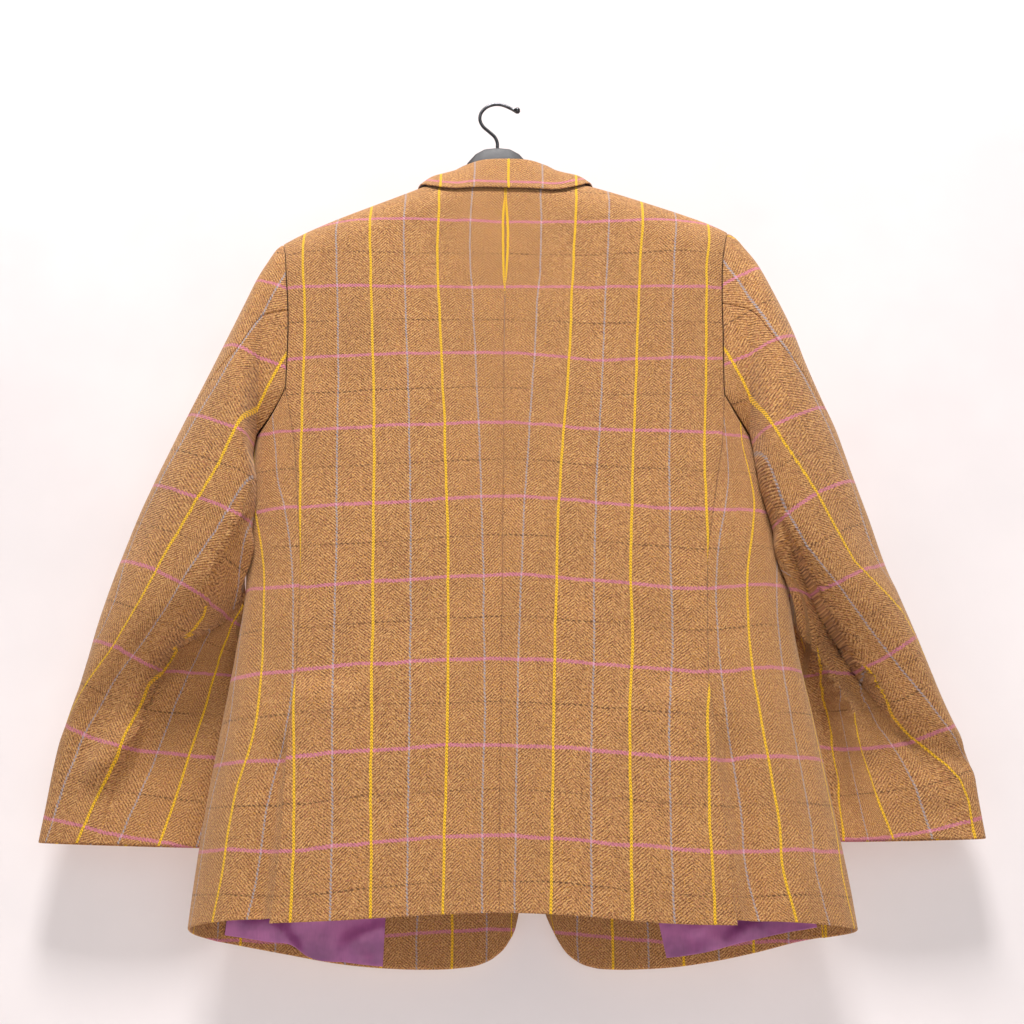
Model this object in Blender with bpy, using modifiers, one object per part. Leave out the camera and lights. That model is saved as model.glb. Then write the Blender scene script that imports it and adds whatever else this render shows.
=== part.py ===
"""Tweed hacking jacket hanging on a shaped hanger.

World axes: +Z up, +Y the back of the jacket, +X the wearer's left.  The origin is where the top of
the hanger's hook bears on the rod or wall hook that carries it.  Lengths are in millimetres and are
turned into metres when a mesh is made.

The body is one draped surface.  A table of horizontal rings gives its width and depth at each
height, and the shoulders roll over a ridge line.  The cut pieces are stretches of that surface with
walls of their own.  Each sleeve is a loft of sections along the arm, from the armhole to the cuff.
"""
import math
from collections import namedtuple

import bmesh
import bpy
import numpy as np
from mathutils import Matrix, Vector

METRES = 0.001

# ---------------------------------------------------------------- driving sizes
CLOTH = 2.0                # thickness of the tweed with its canvas
LINING_CLOTH = 1.2         # thickness of the lining
SEAM_GAP = 0.3             # between two pieces that are sewn together
LAYER_GAP = 1.0            # under a piece that lies on a curved panel
SQUARENESS = 2.5           # of the body's horizontal rings
SLEEVE_SQUARENESS = 2.5
CENTRE_X = -9.0            # middle of the neck
SHOULDER_SEAM_Y = 0.0
ROLL_HEIGHT = 55.0         # how far below the ridge the shoulder has rolled over
NECK_HALF = 71.0           # from the middle of the neck to the neck point of the shoulder seam
BACK_NECK_DROP = 68.0      # centre back neck, measured down over the roll
LAPEL_BREAK_Z = -430.0     # where the front edges stop being folded back
NECK_POINT_Z = -102.0
VENT_UNDERLAP = 38.0
VENT_LIFT = 5.0            # how far the back lies over the underlap
VENT_FADE = 60.0
VENT_MARGIN = 4.0          # by which that lift runs on past the underlap
VENT_RUN = 24.0            # length over which the vent opens at its top
UNDERLAP_START = 16.0      # below the vent's top
HEM_LEVEL = -890.0         # about where the panels' edges reach the hem
SIDE_HEM_RISE = 5.0        # at the vent the side panel ends above the back
SIDE_RISE_RUN = 200.0
SIDE_HEM_CURVE = 2.2       # how late its hem drops to that of the front
FRONT_LAP_LIFT = 5.2       # the left front lies over the right one
FRONT_LAP = 42.0
FRONT_FADE = 60.0
FRONT_LAP_TOP = -325.0
FRONT_LAP_RUN = 40.0
ARMHOLE_LEAD = 45.0
FRONT_SEAM_REACH = 0.93    # the side seam of the front, as a part of the ring's half width
SLEEVE_CLEARANCE = 4.0     # between the sleeve and the side of the body it hangs against
UNDERARM_LEVEL = -356.0
ARMPIT_START = -352.0
ARMPIT_RUN = 34.0
ARMPIT_OUT = 0.8           # the sleeve's seam under the arm lies a little outside the panel's
ARMPIT_UP = 0.6
FACING_GAP = 0.4           # between the front and what is sewn inside it
FACING_INSET = 1.5         # from the front's edge
LINING_SIDE_INSET = 2.0
LINING_HEM_INSET = 5.0     # the hem's turn-up shows below the lining
COLLAR_ROLL = 2.4          # radius of the collar's fold
LAPEL_ROLL_LIFT = 2.0      # how much higher the lapel lies at its fold
LAPEL_OUTSET = 1.0         # its fold stands off the fold line of the front
BUTTON_DIAMETER = 22.0
BUTTON_THICKNESS = 4.0
BUTTON_HEIGHTS = (-430.0, -535.0, -640.0)
HOOK_WIRE = 3.8
HANGER_CLEARANCE = 0.5

# ---------------------------------------------------------------- tables
# Body rings: half widths to the left and right of centre_x, depths behind and before middle_y.
Ring = namedtuple("Ring", "z centre_x half_left half_right middle_y back_depth front_depth")
BODY_RINGS = (
    Ring(-930, -5, 297, 341, 13, 83, 76),
    Ring(-850, -5, 291, 332, 12, 80, 74),
    Ring(-770, -5, 283, 320, 10, 76, 72),
    Ring(-690, -6, 273, 306, 9, 72, 70),
    Ring(-620, -6, 264, 294, 8, 68, 68),
    Ring(-560, -7, 259, 287, 7, 66, 67),
    Ring(-500, -7, 263, 280, 6, 64, 66),
    Ring(-450, -8, 263, 270, 5, 62, 66),
    Ring(-400, -8, 259, 258, 5, 60, 66),
    Ring(-340, -8, 259, 261, 4, 58, 66),
    Ring(-250, -9, 262, 262, 4, 56, 64),
    Ring(-80, -9, 262, 262, 4, 50, 58),
)

# Ridge of the shoulders, seen from behind.  Between the neck points it is only the roll's guide.
Ridge = namedtuple("Ridge", "x z")
RIDGE = (
    Ridge(-275, -175), Ridge(-251, -160), Ridge(-234, -152), Ridge(-205, -141.5),
    Ridge(-163, -127.5), Ridge(-120, -113.5), Ridge(-84, -103), Ridge(-45, -92), Ridge(-9, -88),
    Ridge(30, -91), Ridge(66, -103), Ridge(105, -119), Ridge(140, -133), Ridge(175, -147),
    Ridge(210, -162.5), Ridge(232, -174), Ridge(255, -187),
)

# Edges of the back and of the front at the armhole, down to the top of the side panel.
Armhole = namedtuple("Armhole", "z back_x front_x")
ARMHOLE = {
    "left": (
        Armhole(-354, 217, 227.1), Armhole(-330, 217, 216), Armhole(-300, 217, 209),
        Armhole(-262, 218.5, 207), Armhole(-227, 222, 211), Armhole(-195, 226, 220),
        Armhole(-174, 232, 232),
    ),
    "right": (
        Armhole(-360, -234.7, -242.8), Armhole(-330, -235, -232), Armhole(-300, -236, -226),
        Armhole(-246, -237, -223), Armhole(-205, -240, -230), Armhole(-176, -246, -241),
        Armhole(-160, -251, -251),
    ),
}
# Lower curve of the armhole along the top of the side panel, from the back seam to the front seam.
Underarm = namedtuple("Underarm", "share left_z right_z")
UNDERARM = (
    Underarm(0, -354, -360), Underarm(0.18, -376, -382), Underarm(0.36, -393, -398),
    Underarm(0.56, -400, -404), Underarm(0.8, -386, -390), Underarm(1, -354, -360),
)

# Seam between back and side panel, and below the vent's top the edge of the back.
SideSeam = namedtuple("SideSeam", "z left_x right_x")
SIDE_SEAM = (
    SideSeam(-930, 204, -221), SideSeam(-886, 202, -218.5), SideSeam(-814, 196.5, -213),
    SideSeam(-737, 195, -207.5), SideSeam(-675, 191.6, -204.5), SideSeam(-600, 191.5, -206),
    SideSeam(-539, 193, -209), SideSeam(-465, 199.5, -221), SideSeam(-400, 207.5, -232),
    SideSeam(-356, 217, -235),
)
VENT_TOP = {"left": -653.0, "right": -659.0}

# Lower edges, seen from behind.
Hem = namedtuple("Hem", "x z")
BACK_HEM = (
    Hem(-221, -887), Hem(-165, -886), Hem(-133, -883.7), Hem(-90, -879.6), Hem(-48, -877.2),
    Hem(-5, -876), Hem(40, -877.2), Hem(85, -879.4), Hem(148, -883.3), Hem(204, -885.3),
)
FRONT_HEM = {
    "left": (
        Hem(-24, -866), Hem(-21, -882), Hem(-13, -900), Hem(0, -914), Hem(15, -921.5),
        Hem(38, -925.3), Hem(73, -926.4), Hem(108, -925.3), Hem(154, -921), Hem(200, -913),
        Hem(243, -905), Hem(276, -898.5),
    ),
    "right": (
        Hem(-314, -896.5), Hem(-298, -899.5), Hem(-256, -910), Hem(-212, -919), Hem(-179, -923.7),
        Hem(-144, -926), Hem(-116, -926.3), Hem(-97, -924.7), Hem(-81, -919), Hem(-67, -907),
        Hem(-57, -890), Hem(-50, -875), Hem(-46, -862),
    ),
}
# Free edge of the fronts from the lapel's break down to the start of the round corner.
FrontEdge = namedtuple("FrontEdge", "z left_x right_x")
FRONT_EDGE = (
    FrontEdge(-870, -24, -46), FrontEdge(-800, -25, -24), FrontEdge(-720, -26, -2),
    FrontEdge(-640, -27, 9), FrontEdge(-535, -27, 11), FrontEdge(-430, -27, 11),
)

# Sleeve sections, seen from behind: the outer and the inner end of each, the depth of its back
# above and below the elbow's overlap, the depth of its front, and the places of the two seams as
# parts of its girth.
Section = namedtuple(
    "Section", "outer_x outer_z outer_y inner_x inner_z inner_y over_depth under_depth front_depth"
    " elbow_seam wrist_seam")
SLEEVES = {
    "left": (
        Section(241, -189, 2, 246, -407, 4, 42, 42, 44, 0.20, 0.66),
        Section(254, -215, 1, 248, -415, 10, 49, 49, 48, 0.20, 0.66),
        Section(268, -250, 0, 248, -424, 18, 53, 53, 52, 0.19, 0.66),
        Section(283, -286, -1, 246, -435, 26, 55, 55, 54, 0.17, 0.66),
        Section(299, -323, -2, 243, -447, 31, 55, 55, 56, 0.14, 0.65),
        Section(317, -363, -3, 242, -461, 34, 53, 53, 56, 0.11, 0.64),
        Section(336, -406, -4, 242, -480, 36, 51, 51, 54, 0.07, 0.63),
        Section(352, -443, -5, 244, -502, 36, 49, 49, 52, 0.04, 0.62),
        Section(367, -480, -6, 241, -520, 34, 47, 47, 49, 0.02, 0.61),
        Section(384, -530, -8, 243, -534, 31, 46, 46, 45, 0.01, 0.60),
        Section(400, -585, -10, 246, -546, 25, 45, 42, 40, 0.01, 0.59),
        Section(411, -630, -13, 248, -556, 14, 43, 32, 35, 0.01, 0.58),
        Section(419, -658, -16, 249, -571, -6, 40, 22, 29, 0.01, 0.57),
        Section(426, -677, -20, 250, -592, -22, 37, 16, 23, 0.01, 0.56),
        Section(432, -693, -24, 248, -620, -31, 33, 15, 18, 0.01, 0.55),
        Section(438, -710, -27, 250, -652, -33, 29, 15, 16, 0.01, 0.54),
        Section(443, -736, -29, 257, -697, -33, 23, 15, 16, 0.01, 0.54),
        Section(447, -768, -30, 269, -748, -33, 18, 15, 15, 0.01, 0.53),
        Section(452, -806, -31, 284, -811, -31, 15, 15, 15, 0.01, 0.53),
    ),
    "right": (
        Section(-264, -177, 2, -260, -409, 4, 42, 42, 44, 0.20, 0.66),
        Section(-279, -200, 1, -262, -417, 10, 49, 49, 48, 0.20, 0.66),
        Section(-295, -235, 0, -263, -427, 18, 53, 53, 52, 0.19, 0.66),
        Section(-312, -276, -1, -264, -439, 25, 55, 55, 54, 0.17, 0.66),
        Section(-325, -316, -2, -266, -453, 30, 55, 55, 56, 0.14, 0.65),
        Section(-340, -356, -3, -269, -468, 33, 53, 53, 56, 0.11, 0.64),
        Section(-354, -391, -4, -273, -485, 35, 51, 51, 54, 0.07, 0.63),
        Section(-367, -435, -5, -278, -505, 36, 49, 46, 52, 0.04, 0.62),
        Section(-381, -480, -6, -278, -523, 35, 48, 38, 49, 0.02, 0.61),
        Section(-394, -524, -8, -282, -540, 31, 48, 26, 45, 0.01, 0.60),
        Section(-409, -565, -10, -287, -553, 24, 47, 20, 40, 0.01, 0.59),
        Section(-424, -603, -13, -291, -566, 12, 45, 17, 34, 0.01, 0.58),
        Section(-436, -635, -16, -294, -583, -5, 43, 16, 28, 0.01, 0.57),
        Section(-447, -663, -20, -297, -604, -20, 40, 16, 23, 0.01, 0.56),
        Section(-458, -687, -24, -297, -632, -30, 36, 15, 18, 0.01, 0.55),
        Section(-468, -706, -27, -301, -668, -33, 31, 15, 16, 0.01, 0.54),
        Section(-477, -733, -29, -310, -713, -33, 24, 15, 16, 0.01, 0.54),
        Section(-481, -766, -30, -322, -757, -33, 18, 15, 15, 0.01, 0.53),
        Section(-485, -802, -31, -334, -805, -31, 15, 15, 15, 0.01, 0.53),
    ),
}

# Line at the elbow along which the upper sleeve laps over the forearm, seen from behind.
LapLine = namedtuple("LapLine", "x z")
ELBOW_LAP = {
    "left": (
        LapLine(236, -520), LapLine(247, -546), LapLine(259, -566), LapLine(273, -586),
        LapLine(290, -600), LapLine(313, -616), LapLine(338, -638), LapLine(356, -668),
        LapLine(370, -705), LapLine(380, -760)),
    "right": (
        LapLine(-270, -460), LapLine(-288, -498), LapLine(-303, -537), LapLine(-323, -575),
        LapLine(-348, -612), LapLine(-368, -640), LapLine(-391, -672), LapLine(-415, -705),
        LapLine(-440, -735), LapLine(-460, -775)),
}
LAP_SOFTNESS = 7.0         # half the width of the step at that line
LAP_STEP = 5.0             # the least height of a step that is followed
LAP_WIDTH = 0.012          # and of the strip of the girth that carries it
LAP_MARGIN = 0.05          # of the girth kept free between the step and the seam or the inner end
LAP_TO_TIP_COLUMNS = 3     # grid columns between the step and the inner end
HEAD_SECTIONS = 4          # sections over which the armhole's columns move into their places

# Large folds of the cloth: a soft trough (negative height) or ridge from its start to its end.
Fold = namedtuple("Fold", "start_x start_z end_x end_z half_width height")
FOLD_FADE = 0.22           # part of its length over which a fold begins and ends
FOLD_END = 1.12            # where it is gone, as a part of its length
FOLDS_BEHIND_Y = -28.0     # folds lie on the cloth behind this level
SIDE_FOLDS = {
    "left": (Fold(203, -700, 216, -892, 11, -9), Fold(236, -640, 250, -880, 16, 3)),
    "right": (Fold(-218, -690, -240, -892, 12, -9), Fold(-262, -650, -284, -880, 18, 3)),
}
SLEEVE_FOLDS = {
    "left": (Fold(300, -618, 398, -742, 12, 8), Fold(280, -640, 330, -800, 14, -4)),
    "right": (Fold(-335, -606, -420, -722, 12, 8), Fold(-310, -600, -366, -716, 11, 7),
              Fold(-318, -640, -352, -790, 11, -5)),
}

# Collar sections from the centre back round to its front end.  Offsets are from the middle of the
# neck.  The root lies inside the neckline and is tucked a little further in, the fold stands
# above it, and the edge lies on the body.
Collar = namedtuple(
    "Collar", "face root_offset root_drop tuck_offset tuck_drop fold_offset fold_y fold_z"
    " edge_offset edge_drop bow")
COLLAR = (
    Collar("back", 0, 63.5, 0, 72, 0, 45, -93.5, 0, 77, 0),
    Collar("back", 25, 55.5, 27, 65, 23, 43, -93.5, 29, 75, 0.5),
    Collar("back", 43.5, 37, 49, 45, 40, 34, -93.5, 55, 69, 2),
    Collar("back", 56, 20, 64, 25, 52, 22, -92.5, 76, 53, 4),
    Collar("back", 63.5, 7, 72, 10, 59, 8, -92.5, 90, 28, 5),
    Collar("back", 66.5, 0.5, 75, 0.5, 61.5, -4, -93.5, 96, 2, 5),
    Collar("front", 66.5, 16, 75, 16, 61, -16, -95.5, 102, 22, 5),
    Collar("front", 66, 34, 74, 34, 60.5, -37, -103, 108, 44, 5),
    Collar("front", 63.5, 52, 72, 52, 58.5, -53.5, -120, 111, 62, 4),
    Collar("front", 61, 70, 70, 70, 56, -62.5, -141, 112, 78, 3),
    Collar("front", 57.5, 88, 67, 88, 52.5, -65, -161, 112, 92, 2),
)
COLLAR_INSIDE = 5.4        # centre of the collar's cloth inside the neckline
COLLAR_OVER = 2.8          # and over the outside of the body, at its edge

# Lapels, from the collar's end down to the break of the front.
Lapel = namedtuple("Lapel", "share reach")
LAPEL_SHAPE = (
    Lapel(0, 84), Lapel(0.08, 84), Lapel(0.3, 70), Lapel(0.6, 41), Lapel(0.85, 16), Lapel(1, 5))
LAPEL_TOP_INNER = -172.0
LAPEL_TOP_OUTER = -196.0
LAPEL_BOTTOM = {"left": -418.0, "right": -362.0}

# Slanted hip pocket flaps.
FLAP_LENGTH = 165.0
FLAP_DEPTH = 58.0
FLAP_SLANT = 16.0          # degrees, lower towards the side
FLAP_CENTRE = {"left": (128.0, -668.0), "right": (-150.0, -668.0)}

# Hanger: height of its top and bottom edge and its thickness along its length from the middle.
HangerSection = namedtuple("HangerSection", "offset top bottom half_thickness")
HANGER_HUMP = (
    HangerSection(0, -53.4, -118, 6.5), HangerSection(14, -55, -118, 6.5),
    HangerSection(24, -61, -119, 6.5), HangerSection(33, -72, -121, 6.5),
    HangerSection(40, -89, -124, 6.5), HangerSection(46, -106, -128, 6.5),
    HangerSection(53, -115, -132, 6.5),
)
HANGER_ARM_OFFSETS = (76, 92, 112, 136, 160, 182, 196)
HANGER_NECK_DIP = 6.5      # how far its arms keep below the collar's root
HANGER_ARM_HEIGHT = 24.0
HANGER_TIP_TAPER = 6.0     # by which its arms are less high at their tips
HANGER_ARM_FLARE = 5.0     # added to half the thickness at the shoulder's end
HANGER_CORNER = 0.30       # part of each section's height that is rounded off
HANGER_FALL = 0.36         # slope of its top across its thickness
HANGER_SHELF = 0.6         # part of its thickness under that slope

# Wire of the hook: its centre line, from the hanger up and over.
HookPoint = namedtuple("HookPoint", "x z thickness")
HOOK = (
    HookPoint(0, -52.6, 1), HookPoint(0.3, -46, 1), HookPoint(3.2, -39, 1),
    HookPoint(9.5, -32.5, 1), HookPoint(16.2, -25.8, 1), HookPoint(19.6, -17.6, 1),
    HookPoint(18.4, -9.2, 1), HookPoint(12.6, -2.0, 1), HookPoint(4.5, 1.6, 1),
    HookPoint(-3.5, 1.6, 1), HookPoint(-11.0, -1.2, 1), HookPoint(-17.6, -4.9, 1),
    HookPoint(-19.6, -5.6, 1.4), HookPoint(-21.6, -5.8, 1.85), HookPoint(-23.6, -5.8, 1.75),
    HookPoint(-25.2, -5.7, 0.9),
)

# ---------------------------------------------------------------- grid sizes
ARMHOLE_ROWS = 9
ROWS_TO_SHOULDER = 1.25     # above 1 the rows draw together over the shoulder's roll
BODY_ROWS = 21
BACK_NECK_COLUMNS = 4
BACK_SHOULDER_COLUMNS = 6
SIDE_COLUMNS = 5
UNDERLAP_COLUMNS = 2
FRONT_COLUMN_SHARES = (0, 0.035, 0.08, 0.14, 0.22, 0.33, 0.46, 0.56, 0.67, 0.78, 0.89, 1)
FACING_COLUMNS = 6
FACING_START_ROW = 11
RING_SAMPLES = 240

SIDES = {"left": 1.0, "right": -1.0}
COLOURS = {
    "tweed": (0.36, 0.19, 0.07), "lining": (0.19, 0.05, 0.21),
    "hanger": (0.04, 0.04, 0.045), "hook": (0.10, 0.10, 0.11), "button": (0.10, 0.05, 0.02),
}
ROUGHNESS = {"tweed": 0.95, "lining": 0.42, "hanger": 0.45, "hook": 0.32, "button": 0.35}
METALLIC = {"hook": 1.0}


# ---------------------------------------------------------------- curves through tables
def column(rows, name):
    return np.array([getattr(row, name) for row in rows], float)


def curve(knots, values, at):
    """Smooth curve through the rows of a table, level beyond its ends."""
    slopes = np.gradient(values, knots)
    at = np.clip(np.asarray(at, float), knots[0], knots[-1])
    low = np.clip(np.searchsorted(knots, at) - 1, 0, len(knots) - 2)
    span = knots[low + 1] - knots[low]
    t = (at - knots[low]) / span
    rise = values[low + 1] - values[low]
    start, end = slopes[low] * span, slopes[low + 1] * span
    bend = 3 * rise - 2 * start - end
    return values[low] + t * start + t**2 * bend + t**3 * (start + end - 2 * rise)


def read(rows, key, name, at):
    return curve(column(rows, key), column(rows, name), at)


def ramp(value):
    """0 to 1 with soft ends."""
    value = np.clip(value, 0.0, 1.0)
    return value * value * (3 - 2 * value)


def unit(vectors):
    return vectors / np.linalg.norm(vectors, axis=-1, keepdims=True)


# ---------------------------------------------------------------- the draped body
def ridge(x):
    return read(RIDGE, "x", "z", x)


def ring(z):
    return {name: read(BODY_RINGS, "z", name, z) for name in Ring._fields[1:]}


def face_y(x, z, face):
    """Level of the back or of the front at a place seen from behind."""
    size = ring(z)
    half = np.where(x > size["centre_x"], size["half_left"], size["half_right"])
    reach = np.clip(np.abs(x - size["centre_x"]) / half, 0.0, 0.999)
    round_off = (1 - reach**SQUARENESS) ** (1 / SQUARENESS)
    depth = size["back_depth"] if face == "back" else -size["front_depth"]
    return size["middle_y"] + depth * round_off


def height_at(x, drop):
    """Height after going a length down from the ridge, over the roll of the shoulder."""
    quarter = ROLL_HEIGHT * math.pi / 2
    rolled = ROLL_HEIGHT * (1 - np.cos(np.clip(drop, 0, quarter) / ROLL_HEIGHT))
    return ridge(x) - rolled - np.maximum(drop - quarter, 0)


def drop_at(x, z):
    """The length down from the ridge at which the cloth has a given height."""
    below = ridge(x) - z
    rolled = ROLL_HEIGHT * np.arccos(np.clip(1 - below / ROLL_HEIGHT, 0, 1))
    return np.where(below < ROLL_HEIGHT, rolled, ROLL_HEIGHT * (math.pi / 2 - 1) + below)


def drape(x, drop, face):
    """A point of the back or front, given across and down along the cloth."""
    x, drop = np.broadcast_arrays(np.asarray(x, float), np.asarray(drop, float))
    z = height_at(x, drop)
    angle = np.clip(drop / ROLL_HEIGHT, 0, math.pi / 2)
    y = SHOULDER_SEAM_Y + (face_y(x, z, face) - SHOULDER_SEAM_Y) * np.sin(angle)
    return np.stack([x, y, z], axis=-1)


def drape_normal(x, drop, face, step=0.5):
    across = drape(x + step, drop, face) - drape(x - step, drop, face)
    start = np.maximum(np.asarray(drop, float) - step, 0)
    down = drape(x, start + 2 * step, face) - drape(x, start, face)
    normal = unit(np.cross(across, down))
    return normal if face == "back" else -normal


def half_ring(z, side):
    """One half of a body ring from the centre back round to the centre front, with its lengths."""
    size = {name: float(value) for name, value in ring(z).items()}
    half = size["half_left"] if side == "left" else size["half_right"]
    turn = np.linspace(0, math.pi, RING_SAMPLES)
    power = 2 / SQUARENESS
    x = size["centre_x"] + SIDES[side] * half * np.sin(turn) ** power
    swing = np.abs(np.cos(turn)) ** power
    y = size["middle_y"] + np.where(turn < math.pi / 2, size["back_depth"], -size["front_depth"]) * swing
    points = np.stack([x, y, np.full_like(x, z)], axis=-1)
    lengths = np.concatenate([[0], np.cumsum(np.linalg.norm(np.diff(points, axis=0), axis=1))])
    return points, lengths


def length_to(points, lengths, x, side, face):
    """Length along a half ring to the place where the back or front has a given x."""
    middle = RING_SAMPLES // 2
    reach = SIDES[side] * points[:, 0]
    if face == "back":
        return np.interp(SIDES[side] * x, reach[:middle], lengths[:middle])
    return np.interp(-SIDES[side] * x, -reach[middle:], lengths[middle:])


def girth_point(z, side, share):
    """A point of the side panel; share runs from 0 at the back seam to 1 at the front seam.

    Below 0 it runs over the vent's underlap, to -1.
    """
    points, lengths = half_ring(z, side)
    start = length_to(points, lengths, float(side_seam_x(z, side)), side, "back")
    end = length_to(points, lengths, float(front_seam_x(z, side)), side, "front")
    at = start + share * (end - start if share > 0 else VENT_UNDERLAP)
    return np.array([np.interp(at, lengths, points[:, axis]) for axis in range(3)])


def girth_normal(z, side, share, step=0.5):
    round_body = girth_point(z, side, share + 0.004) - girth_point(z, side, share - 0.004)
    up = girth_point(z + step, side, share) - girth_point(z - step, side, share)
    return unit(np.cross(round_body, up)) * -SIDES[side]


def fold_height(points, folds, only_back=True):
    """Height of the large folds at each point, seen from behind."""
    total = np.zeros(points.shape[:-1])
    for fold in folds:
        start = np.array([fold.start_x, fold.start_z])
        run = np.array([fold.end_x, fold.end_z]) - start
        length = np.linalg.norm(run)
        offset = points[..., (0, 2)] - start
        along = offset @ run / length**2
        off = np.abs(offset[..., 0] * run[1] - offset[..., 1] * run[0]) / length
        ends = ramp(along / FOLD_FADE) * ramp((FOLD_END - along) / FOLD_FADE)
        total += fold.height * np.exp(-((off / fold.half_width) ** 2)) * ends
    return total * (points[..., 1] > FOLDS_BEHIND_Y) if only_back else total


# ---------------------------------------------------------------- edges of the pieces
def side_seam_x(z, side):
    return read(SIDE_SEAM, "z", side + "_x", z)


def front_seam_x(z, side):
    size = ring(z)
    half = size["half_left"] if side == "left" else size["half_right"]
    return size["centre_x"] + SIDES[side] * FRONT_SEAM_REACH * half


def armhole_x(z, side, face):
    """Edge of the back or front at the armhole, led into the seam below it."""
    lowest = ARMHOLE[side][0]
    seam = side_seam_x(lowest.z, side) if face == "back" else front_seam_x(lowest.z, side)
    miss = seam - getattr(lowest, face + "_x")
    led = ramp((lowest.z + ARMHOLE_LEAD - z) / ARMHOLE_LEAD)
    return read(ARMHOLE[side], "z", face + "_x", z) + miss * led


def back_edge_x(z, side):
    top = ARMHOLE[side][0].z
    return np.where(z > top, armhole_x(z, side, "back"), side_seam_x(z, side))


def front_outer_x(z, side):
    top = ARMHOLE[side][0].z
    return np.where(z > top, armhole_x(z, side, "front"), front_seam_x(z, side))


def roll_line_x(z, side):
    """Fold of the lapel and, below its break, the front edge."""
    neck_x = CENTRE_X + SIDES[side] * NECK_HALF
    break_x = float(read(FRONT_EDGE, "z", side + "_x", LAPEL_BREAK_Z))
    share = np.clip((z - NECK_POINT_Z) / (LAPEL_BREAK_Z - NECK_POINT_Z), 0, 1)
    bow = 7.0 * SIDES[side] * np.sin(math.pi * share)
    fold = neck_x + (break_x - neck_x) * share + bow
    return np.where(z > LAPEL_BREAK_Z, fold, read(FRONT_EDGE, "z", side + "_x", z))


def vent_lift(x, z, side):
    """The back panel stands off over the vent's underlap."""
    inside = SIDES[side] * (side_seam_x(z, side) - x)
    near = ramp((VENT_UNDERLAP + VENT_MARGIN + VENT_FADE - inside) / VENT_FADE)
    return VENT_LIFT * near * ramp((VENT_TOP[side] - z) / VENT_RUN)


def front_lift(x, z, side):
    """The left front stands off over the right one."""
    if side == "right":
        return np.zeros_like(x)
    inside = x - roll_line_x(z, side)
    near = ramp((FRONT_LAP + FRONT_FADE - inside) / FRONT_FADE)
    return FRONT_LAP_LIFT * near * ramp((FRONT_LAP_TOP - z) / FRONT_LAP_RUN)


def front_point(x, drop, side, lift=0.0):
    points = drape(x, drop, "front")
    normals = drape_normal(x, drop, "front")
    lift = lift + front_lift(points[..., 0], points[..., 2], side)
    return points + normals * np.asarray(lift)[..., None], normals


# ---------------------------------------------------------------- grids of the pieces
def place_on_edge(edge, drops, side):
    """x and drop of an edge whose x depends on its height."""
    x = edge(np.full_like(drops, -300.0), side)
    for _ in range(12):
        x = edge(height_at(x, drops), side)
    return x


def panel_rows(edge, hem, side):
    """Drops of all rows down the outer edge of the back or front.

    Below the armhole the rows are evenly spaced in height, as those of the side panel are.
    """
    join_z = ARMHOLE[side][0].z
    join = float(drop_at(edge(join_z, side), join_z))
    upper = join * np.linspace(0, 1, ARMHOLE_ROWS + 1) ** ROWS_TO_SHOULDER
    z = np.linspace(join_z, float(hem(edge(HEM_LEVEL, side))), BODY_ROWS + 1)[1:]
    lower = drop_at(edge(z, side), z)
    return np.concatenate([upper, lower])


def back_hem(x):
    return read(BACK_HEM, "x", "z", x)


def front_hem(x, side):
    return read(FRONT_HEM[side], "x", "z", x)


def back_neck_drop(x):
    """The back neckline, deepest at the centre and rising to the neck points."""
    off = np.clip(np.abs(x - CENTRE_X) / NECK_HALF, 0, 1)
    return BACK_NECK_DROP * (1 - off**2)


def back_grid(side):
    outer_drops = panel_rows(back_edge_x, back_hem, side)
    outer_x = place_on_edge(back_edge_x, outer_drops, side)
    shares = (outer_drops - outer_drops[0]) / (outer_drops[-1] - outer_drops[0])
    tip_x = outer_x[0]
    neck_share = NECK_HALF / abs(tip_x - CENTRE_X)
    across = np.concatenate([
        np.linspace(0, neck_share, BACK_NECK_COLUMNS + 1),
        np.linspace(neck_share, 1, BACK_SHOULDER_COLUMNS + 1)[1:],
    ])
    outer_z = height_at(outer_x, outer_drops)
    middle_x = ring(outer_z)["centre_x"]
    x = middle_x[:, None] + (outer_x - middle_x)[:, None] * across[None, :]
    top = back_neck_drop(x[0])
    bottom = drop_at(x[-1], back_hem(x[-1]))
    drop = top[None, :] + shares[:, None] * (bottom - top)[None, :]
    points = drape(x, drop, "back")
    normals = drape_normal(x, drop, "back")
    lift = vent_lift(points[..., 0], points[..., 2], side)
    return points + normals * lift[..., None], normals


def front_grid(side):
    outer_drops = panel_rows(front_outer_x, lambda x: front_hem(x, side), side)
    outer_x = place_on_edge(front_outer_x, outer_drops, side)
    shares = (outer_drops - outer_drops[0]) / (outer_drops[-1] - outer_drops[0])
    corner = FRONT_HEM[side][0 if side == "left" else -1]
    inner_bottom = float(drop_at(corner.x, corner.z))
    inner_drops = shares * inner_bottom
    inner_x = place_on_edge(roll_line_x, inner_drops, side)
    across = np.array(FRONT_COLUMN_SHARES)
    x = inner_x[:, None] + (outer_x - inner_x)[:, None] * across[None, :]
    bottom = drop_at(x[-1], front_hem(x[-1], side))
    bottom[0], bottom[-1] = inner_drops[-1], outer_drops[-1]
    drop = shares[:, None] * bottom[None, :]
    return front_point(x, drop, side)


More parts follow.
